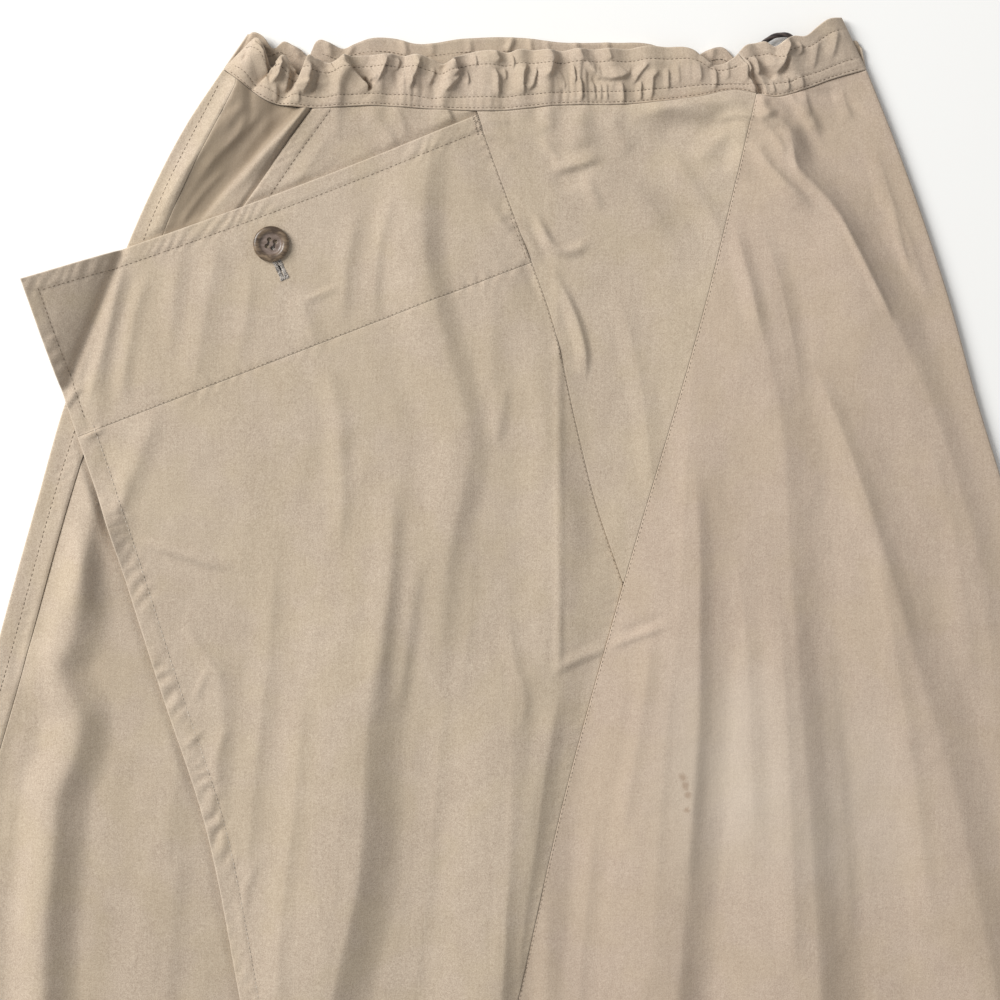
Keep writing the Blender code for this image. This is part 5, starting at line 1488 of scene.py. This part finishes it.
def make_loop():
    rings, sides = 150, 24
    places = np.linspace(0, LOOP["place"][-1], rings)
    middle = np.stack([along(LOOP, "place", "x", places), along(LOOP, "place", "y", places)], axis=-1)
    way = np.gradient(middle, axis=0)
    run = np.concatenate([[0], np.cumsum(np.hypot(*np.diff(middle, axis=0).T))])
    way /= np.hypot(*way.T)[:, None]
    angle = np.linspace(0, 2 * math.pi, sides, endpoint=False)
    crest = 0.5 + 0.5 * np.cos(STRANDS * (angle - 2 * math.pi * run[:, None] / TWIST_MM / STRANDS))
    radius = LOOP_RADIUS * (0.86 + 0.14 * crest)
    aside = radius * np.cos(angle)
    x, y = middle[:, :1] - way[:, 1:] * aside, middle[:, 1:] + way[:, :1] * aside
    points = np.stack([x, y, LOOP_Z + radius * np.sin(angle)], axis=-1)
    number = np.arange(rings * sides).reshape(rings, sides)
    after = np.roll(number, -1, axis=1)
    walls = np.stack([number[:-1], after[:-1], after[1:], number[1:]], axis=-1).reshape(-1, 4)
    faces = [*walls.tolist(), number[0, ::-1].tolist(), number[-1].tolist()]
    loop = add_piece("loop", points.reshape(-1, 3), faces, brown_cord(), {"crest": crest})
    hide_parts("hanger_loop")
    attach(loop, "root")


make_loop()

# ---------------------------------------------------------------------------------------------------------
# The topstitching: rows of brown cotton thread along every hem and seam, with a bar tack where the wrap
# panel's top edge meets its seam. Each stitch is a short raised thread whose ends go down into the cloth.

STITCH_STEP, STITCH_LONG = 2.9, 2.15
THREAD_RADIUS, WAIST_THREAD_RADIUS, SEAM_THREAD_RADIUS = 0.21, 0.19, 0.13
THREAD_SINK = 0.32


def sewing_thread(name, dark, light, fleck=0.4):
    """Spun cotton thread, matt. Its strands are too fine to show, so its colour only changes a little from
    stitch to stitch."""
    finish, tree, shader = new_material(name)
    tone = add_node(tree, "Attribute", {"attribute_name": "tone"}).outputs["Fac"]
    place = add_node(tree, "TexCoord").outputs["Object"]
    fibres = add_node(tree, "TexNoise", inputs={"Vector": place, "Scale": 2500, "Detail": 2}).outputs["Fac"]
    even = add_node(tree, "Math", {"operation": "SUBTRACT"}, {0: tone, 1: (fleck - 0.4) / 2}).outputs[0]
    share = add_node(tree, "Math", {"operation": "MULTIPLY_ADD"}, {0: fibres, 1: fleck, 2: even}).outputs[0]
    tones = {0: share, 6: linear(dark), 7: linear(light)}
    colour = add_node(tree, "Mix", {"data_type": "RGBA", "clamp_factor": True}, tones).outputs[2]
    tree.links.new(colour, shader.inputs["Base Color"])
    shader.inputs["Roughness"].default_value = 0.75
    shader.inputs["Sheen Weight"].default_value = 0.15
    return finish


def add_threads(name, starts, ends, finish, radius=THREAD_RADIUS, seed=1):
    """Short threads between pairs of drawing points, as one mesh: each swells between its two sunk ends."""
    way = ends - starts
    long = np.linalg.norm(way, axis=1)[:, None]
    way = way / long
    aside = np.stack([-way[:, 1], way[:, 0], 0 * way[:, 0]], axis=1)
    aside /= np.linalg.norm(aside, axis=1)[:, None]
    over = np.cross(way, aside)
    angle = np.radians([0, 60, 120, 180, 240, 300])
    rings = []
    for share, size, rise in ((0, 0.6, -THREAD_SINK), (0.2, 1, 0.1), (0.8, 1, 0.1), (1, 0.6, -THREAD_SINK)):
        middle = starts + way * long * share + over * rise
        ring = aside[:, None] * np.cos(angle)[:, None] + over[:, None] * np.sin(angle)[:, None]
        rings.append(middle[:, None] + ring * radius * size)
    points = np.stack(rings, axis=1)
    number = np.arange(points[..., 0].size).reshape(points.shape[:3])
    after = np.roll(number, -1, axis=2)
    walls = np.stack([number[:, :-1], after[:, :-1], after[:, 1:], number[:, 1:]], axis=-1).reshape(-1, 4)
    faces = walls.tolist() + number[:, 0, ::-1].tolist() + number[:, -1].tolist()
    tone = np.random.default_rng(seed).uniform(0, 0.7, len(starts))
    piece = add_piece(name, points.reshape(-1, 3), faces, finish, {"tone": np.repeat(tone, 24)})
    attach(piece, "root")
    return piece


def stitched(rows, step=STITCH_STEP, long=STITCH_LONG, seed=5):
    """Starts and ends of the stitches along rows of drawing points, slightly uneven in step and length."""
    uneven = np.random.default_rng(seed)
    starts, ends = [], []
    for points in rows:
        run = np.concatenate([[0], np.cumsum(np.linalg.norm(np.diff(points, axis=0), axis=1))])
        count = int(run[-1] / step)
        first = (np.arange(count) + uneven.uniform(0, 0.16, count)) * step
        last = first + long * uneven.uniform(0.85, 1.08, count)
        for places, kept in ((first, starts), (last, ends)):
            kept.append(np.stack([np.interp(places, run, points[:, k]) for k in range(3)], axis=-1))
    return np.concatenate(starts), np.concatenate(ends)


def down_line(path, top, bottom, shift):
    """Places along a path down the skirt, shifted to its right."""
    y = np.arange(top, bottom, -0.7)
    slope = (path(y + 1) - path(y - 1)) / 2
    long = np.sqrt(1 + slope**2)
    return path(y) + shift / long, y - shift * slope / long


def level_line(path, left, right, below):
    """Places along a line across the skirt, shifted down it."""
    x = np.arange(left, right, 0.7)
    slope = (path(x + 1) - path(x - 1)) / 2
    long = np.sqrt(1 + slope**2)
    return x + below * slope / long, path(x) - below / long


def on_front(places, relief):
    """Places on the front, as points on one of its pieces."""
    x, y = places
    return np.stack([x, y, FRONT_Z + relief(x, y) * side_calm(x, y)], axis=-1)


def on_wrap(places):
    x, y = places
    return np.stack([x, y, FRONT_Z + LAYER + wrap_relief(x, y)], axis=-1)


def hem_row(relief, start, end):
    """The hem's row of stitches on the front between two shares of its width."""
    across = np.linspace(start, end, 500)
    down = np.full(500, 1 - HEM / LENGTH)
    points = tube(across, down, relief)[0]
    points[:, 2] += hem_relief(HEM, points[:, 0], 1)
    return points


def make_topstitching():
    brown = sewing_thread("brown_cotton_thread", "#5A4C3F", "#A3917E")
    pale = sewing_thread("faded_cotton_thread", "#7A6957", "#E2D8CA")
    hem_left, hem_right = wrap_hem_ends()
    share = np.linspace(0.02, 0.995, 300)
    wrap_hem_y = hem_left + (hem_right - hem_left) * share + HEM
    wrap_hem_x = free_edge(wrap_hem_y) + (wrap_seam(wrap_hem_y) - free_edge(wrap_hem_y)) * share
    wrap_hem = on_wrap((wrap_hem_x, wrap_hem_y))
    wrap_hem[:, 2] += hem_relief(HEM, wrap_hem_x, 1)
    rows = [
        on_front(down_line(side_seam, 8, -742, -FELL), side_strip_relief),
        on_front(down_line(pocket_edge, 3, POCKET_STITCH_END, POCKET_STITCH), under_front_relief),
        on_wrap(level_line(wrap_top_y, -296, -47, TOP_HEM)),
        on_wrap(down_line(free_edge, -109, -186, BAND_SIDE_HEM)),
        wrap_hem,
        hem_row(side_strip_relief, 0.03, 0.045),
        hem_row(under_front_relief, 0.05, 0.36),
        hem_row(front_relief, 0.43, 0.97),
    ]
    add_threads("topstitching", *stitched(rows), brown)
    side = [on_wrap(down_line(free_edge, -189, hem_left + 3, SIDE_HEM))]
    add_threads("side_stitching", *stitched(side, 2.6, 2.0, 11), pale)
    across = free_edge(BAND_SEAM_LEFT) + 14, wrap_seam(BAND_SEAM_RIGHT) - 2
    seams = [
        on_front(down_line(long_seam, 3, -790, 0.7), front_relief),
        on_wrap(level_line(band_seam_y, *across, -0.75)),
        on_wrap(down_line(wrap_seam, -4, APEX_Y, -0.8)),
        on_wrap(down_line(wrap_seam, -64, -91, -2.2)),
    ]
    add_threads("seam_stitching", *stitched(seams, 2.7, 1.6, 6), brown, SEAM_THREAD_RADIUS)


def make_bar_tack():
    # Where the panel's corner takes the pull: two dense rows of short slanting stitches across the seam.
    thread = sewing_thread("bar_tack_thread", "#5C4D40", "#CDBDAA")
    uneven = np.random.default_rng(8)
    starts, ends = [], []
    for row in (-1.0, 1.2):
        along_y = np.arange(-6, -16.5, -0.95)
        x = wrap_seam(along_y) - 2.4 + row + uneven.uniform(-0.4, 0.4, len(along_y))
        for kept, reach in ((starts, -0.6), (ends, 0.6)):
            y = along_y + 0.5 * reach + uneven.uniform(-0.15, 0.15, len(along_y))
            kept.append(on_wrap((x + reach, y)) + (0, 0, 0.15))
    add_threads("bar_tack", np.concatenate(starts), np.concatenate(ends), thread, WAIST_THREAD_RADIUS, 9)


def make_waist_stitching():
    thread = sewing_thread("waist_cotton_thread", "#55463A", "#8C7A67")
    first, last = GATHERS_FRONT["x"][[0, -1]]
    joint = np.interp(JOINT_X - JOINT_SHIFT, SEAM_ENDS, (first, last))
    rows = []
    for up in BAND_ROWS:
        for start, end in ((first + 3, joint - 1.5), (joint + 1.5, last - 3)):
            x = np.arange(start, end, 0.6)
            rows.append(band_place(GATHERS_FRONT, x, np.full(len(x), up), 1)[0])
    first, last = GATHERS_BACK["x"][[0, -1]]
    x = np.arange(first + 6, last - 6, 0.6)
    behind = band_place(GATHERS_BACK, x, np.full(len(x), BACK_ROW), -1)[0]
    behind[:, 2] += BAND_CLOTH + creases_height(behind[:, 0], behind[:, 1], BACK_BAND_CREASES)
    rows.append(behind)
    add_threads("waistband_stitching", *stitched(rows, 2.5, 1.8, 7), thread, WAIST_THREAD_RADIUS)


make_topstitching()
make_bar_tack()
make_waist_stitching()

# ---------------------------------------------------------------------------------------------------------
# The buttonhole: worked by machine in grey flecked thread, close together round a slit in the wrap panel's
# band. Most of it is under the button, and its straight end shows below.

HOLE_START, HOLE_END = np.array([-162.9, -82.4]), np.array([-154.4, -100.6])
HOLE_SLIT, HOLE_REACH = 0.1, 2.6  # from its middle line to the stitches' two ends
HOLE_STEP, HOLE_RAISED = 0.38, 0.22


def make_buttonhole():
    way = HOLE_END - HOLE_START
    long = np.hypot(*way)
    way = way / long
    aside = np.array([-way[1], way[0]])
    uneven = np.random.default_rng(14)
    starts, ends = [], []

    def add(place, inner, outer):
        for kept, off in ((starts, inner), (ends, outer)):
            x, y = (place + off).T
            kept.append(on_wrap((x, y)) + (0, 0, HOLE_RAISED))

    run = np.arange(0, long - 1.2, HOLE_STEP)
    for side in (-1, 1):
        lean = uneven.uniform(-0.25, 0.25, (len(run), 1))
        jitter = uneven.uniform(-0.3, 0.3, (len(run), 1))
        line = HOLE_START + way * run[:, None]
        add(line, side * aside * HOLE_SLIT + 0 * jitter, side * aside * (HOLE_REACH + jitter) + way * lean)
    tack = np.arange(-HOLE_REACH, HOLE_REACH, HOLE_STEP)[:, None]
    add(HOLE_END + aside * tack, way * -1.5 + 0 * tack, way * 0.7 * uneven.uniform(0.4, 1.2, (len(tack), 1)))
    thread = sewing_thread("flecked_buttonhole_thread", "#2C2725", "#D2CAC1", 5)
    add_threads("buttonhole_thread", np.concatenate(starts), np.concatenate(ends), thread, 0.25, 15)

    turn = np.radians(np.arange(0, 360, 15))
    middle = HOLE_START + way * (0.66 * long)
    rim = middle + way * 1.7 * np.cos(turn)[:, None] + aside * 0.42 * np.sin(turn)[:, None]
    top = on_wrap(rim.T) + (0, 0, 0.42)
    points = np.concatenate([top, top - (0, 0, 0.4)])
    count = len(turn)
    faces = [list(range(count))[::-1], list(range(count, 2 * count))]
    faces += [[k, (k + 1) % count, count + (k + 1) % count, count + k] for k in range(count)]
    dark, _, shader = new_material("shaded_slit")
    shader.inputs["Base Color"].default_value = linear("#1B1614")
    shader.inputs["Roughness"].default_value = 1
    slit = add_piece("buttonhole_slit", points, [face[::-1] for face in faces], dark)
    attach(slit, "root")


make_buttonhole()

# ---------------------------------------------------------------------------------------------------------
# The button: turned from a disc of marbled brown horn, with a raised rim, a dished middle and four drilled
# holes. It is polished, and sewn on with two bars of thread.

BUTTON_PROFILE = (
    (8.4, 0), (9.5, 0.3), (10.15, 0.9), (10.4, 1.6), (10.3, 2.3), (9.95, 2.85), (9.4, 3.2), (8.7, 3.3),
    (7.9, 3.28), (7.1, 3.1), (6.55, 2.7), (6.15, 2.2), (5.6, 1.95), (4.6, 1.86), (2.6, 1.82), (0.5, 1.8),
)
BUTTON_TURN = -20
HORN_DISH, HORN_RIM = 5.2, 7.8  # radii between which the dish's colour turns to the rim's
THREAD_HOLE_RADIUS, THREAD_HOLES_X, THREAD_HOLES_Y = 1.35, 3.6, 3.9


def marbled_horn():
    # Polished horn: brown layers swirl in it, darker and greener in the rim and pinker where it is thinnest.
    finish, tree, shader = new_material("marbled_horn")
    place = add_node(tree, "TexCoord").outputs["Object"]
    middle = tuple(in_frame((BUTTON_X, BUTTON_Y, 0)))
    local = add_node(tree, "VectorMath", {"operation": "SUBTRACT"}, {0: place, 1: middle}).outputs[0]
    bend = add_node(tree, "TexNoise", inputs={"Vector": local, "Scale": 130, "Detail": 2}).outputs["Color"]
    bent = add_node(tree, "Mix", {"data_type": "VECTOR"}, {0: 0.006, 4: local, 5: bend}).outputs[1]
    turned = {"Vector": bent, "Rotation": (0, 0, math.radians(35)), "Scale": (95, 330, 150)}
    layers = add_node(tree, "Mapping", inputs=turned).outputs["Vector"]
    lumps = {"Vector": layers, "Scale": 1.0, "Detail": 4, "Roughness": 0.6}
    swirl = add_node(tree, "TexNoise", inputs=lumps).outputs["Fac"]
    flat = add_node(tree, "VectorMath", {"operation": "MULTIPLY"}, {0: local, 1: (1, 1, 0)}).outputs[0]
    out = add_node(tree, "VectorMath", {"operation": "LENGTH"}, {0: flat}).outputs["Value"]
    rim, contrast = (
        add_node(
            tree,
            "MapRange",
            {"interpolation_type": "SMOOTHSTEP"},
            {"Value": value, "From Min": low, "From Max": high},
        ).outputs["Result"]
        for value, low, high in ((out, HORN_DISH * MM, HORN_RIM * MM), (swirl, 0.33, 0.7))
    )
    dish, edge = (
        add_node(
            tree, "Mix", {"data_type": "RGBA"}, {0: contrast, 6: linear(dark), 7: linear(light)}
        ).outputs[2]
        for dark, light in (("#66564B", "#94837A"), ("#46372A", "#8F7A62"))
    )
    colour = add_node(tree, "Mix", {"data_type": "RGBA"}, {0: rim, 6: dish, 7: edge}).outputs[2]
    tree.links.new(colour, shader.inputs["Base Color"])
    shader.inputs["Roughness"].default_value = 0.36
    shader.inputs["Coat Weight"].default_value = 0.22
    shader.inputs["Coat Roughness"].default_value = 0.2
    return finish


def make_button():
    bpy.ops.object.select_all(action="DESELECT")
    bpy.ops.mesh.primitive_circle_add(vertices=96, radius=BUTTON_PROFILE[0][0] * MM, fill_type="NGON")
    disc = bpy.context.object
    disc.name = disc.data.name = "horn_button"
    bpy.ops.object.mode_set(mode="EDIT")
    bpy.ops.mesh.select_all(action="SELECT")
    for (radius, z), (next_radius, next_z) in zip(BUTTON_PROFILE, BUTTON_PROFILE[1:]):
        bpy.ops.mesh.extrude_region_move(TRANSFORM_OT_translate={"value": (0, 0, (next_z - z) * MM)})
        bpy.ops.transform.resize(value=(next_radius / radius, next_radius / radius, 1))
    bpy.ops.mesh.select_all(action="SELECT")
    bpy.ops.mesh.normals_make_consistent(inside=False)
    bpy.ops.object.mode_set(mode="OBJECT")
    drills = []
    for x in (-THREAD_HOLES_X / 2, THREAD_HOLES_X / 2):
        for y in (-THREAD_HOLES_Y / 2, THREAD_HOLES_Y / 2):
            bpy.ops.mesh.primitive_cylinder_add(
                vertices=32, radius=THREAD_HOLE_RADIUS * MM, depth=8 * MM, location=(x * MM, y * MM, 2 * MM)
            )
            drills.append(bpy.context.object)
    for drill in drills:
        bpy.ops.object.select_all(action="DESELECT")
        disc.select_set(True)
        bpy.context.view_layer.objects.active = disc
        cut = disc.modifiers.new("hole", "BOOLEAN")
        cut.operation, cut.solver, cut.object = "DIFFERENCE", "EXACT", drill
        bpy.ops.object.modifier_apply(modifier=cut.name)
        bpy.data.objects.remove(drill)
    soft = disc.modifiers.new("soft_edges", "BEVEL")
    soft.width, soft.segments, soft.limit_method, soft.angle_limit = 0.16 * MM, 2, "ANGLE", math.radians(50)
    bpy.ops.object.modifier_apply(modifier=soft.name)
    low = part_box("button")[0].z
    disc.rotation_euler.z = math.radians(BUTTON_TURN)
    disc.location = (*in_frame((BUTTON_X, BUTTON_Y, 0))[:2], low)
    bpy.ops.object.select_all(action="DESELECT")
    disc.select_set(True)
    bpy.context.view_layer.objects.active = disc
    bpy.ops.object.transform_apply(location=True, rotation=True, scale=True)
    bpy.ops.object.shade_smooth_by_angle(angle=math.radians(40))
    disc.data.materials.clear()
    disc.data.materials.append(marbled_horn())
    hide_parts("button")
    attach(disc, "root")

    starts, ends = [], []
    turn = math.radians(BUTTON_TURN)
    cos, sin = math.cos(turn), math.sin(turn)
    for x in (-THREAD_HOLES_X / 2, THREAD_HOLES_X / 2):
        for strand in (-0.24, 0.24):
            for kept, y in ((starts, -THREAD_HOLES_Y / 2), (ends, THREAD_HOLES_Y / 2)):
                across, up = x + strand, y * 0.62
                place = BUTTON_X + across * cos - up * sin, BUTTON_Y + across * sin + up * cos
                kept.append((*place, low / MM + 1.9))
    # The thread is near black: painted shade, so that the holes round it read dark.
    thread = sewing_thread("button_cotton_thread", "#221A15", "#463A30")
    add_threads("button_thread", np.array(starts), np.array(ends), thread, 0.2, 22)


make_button()
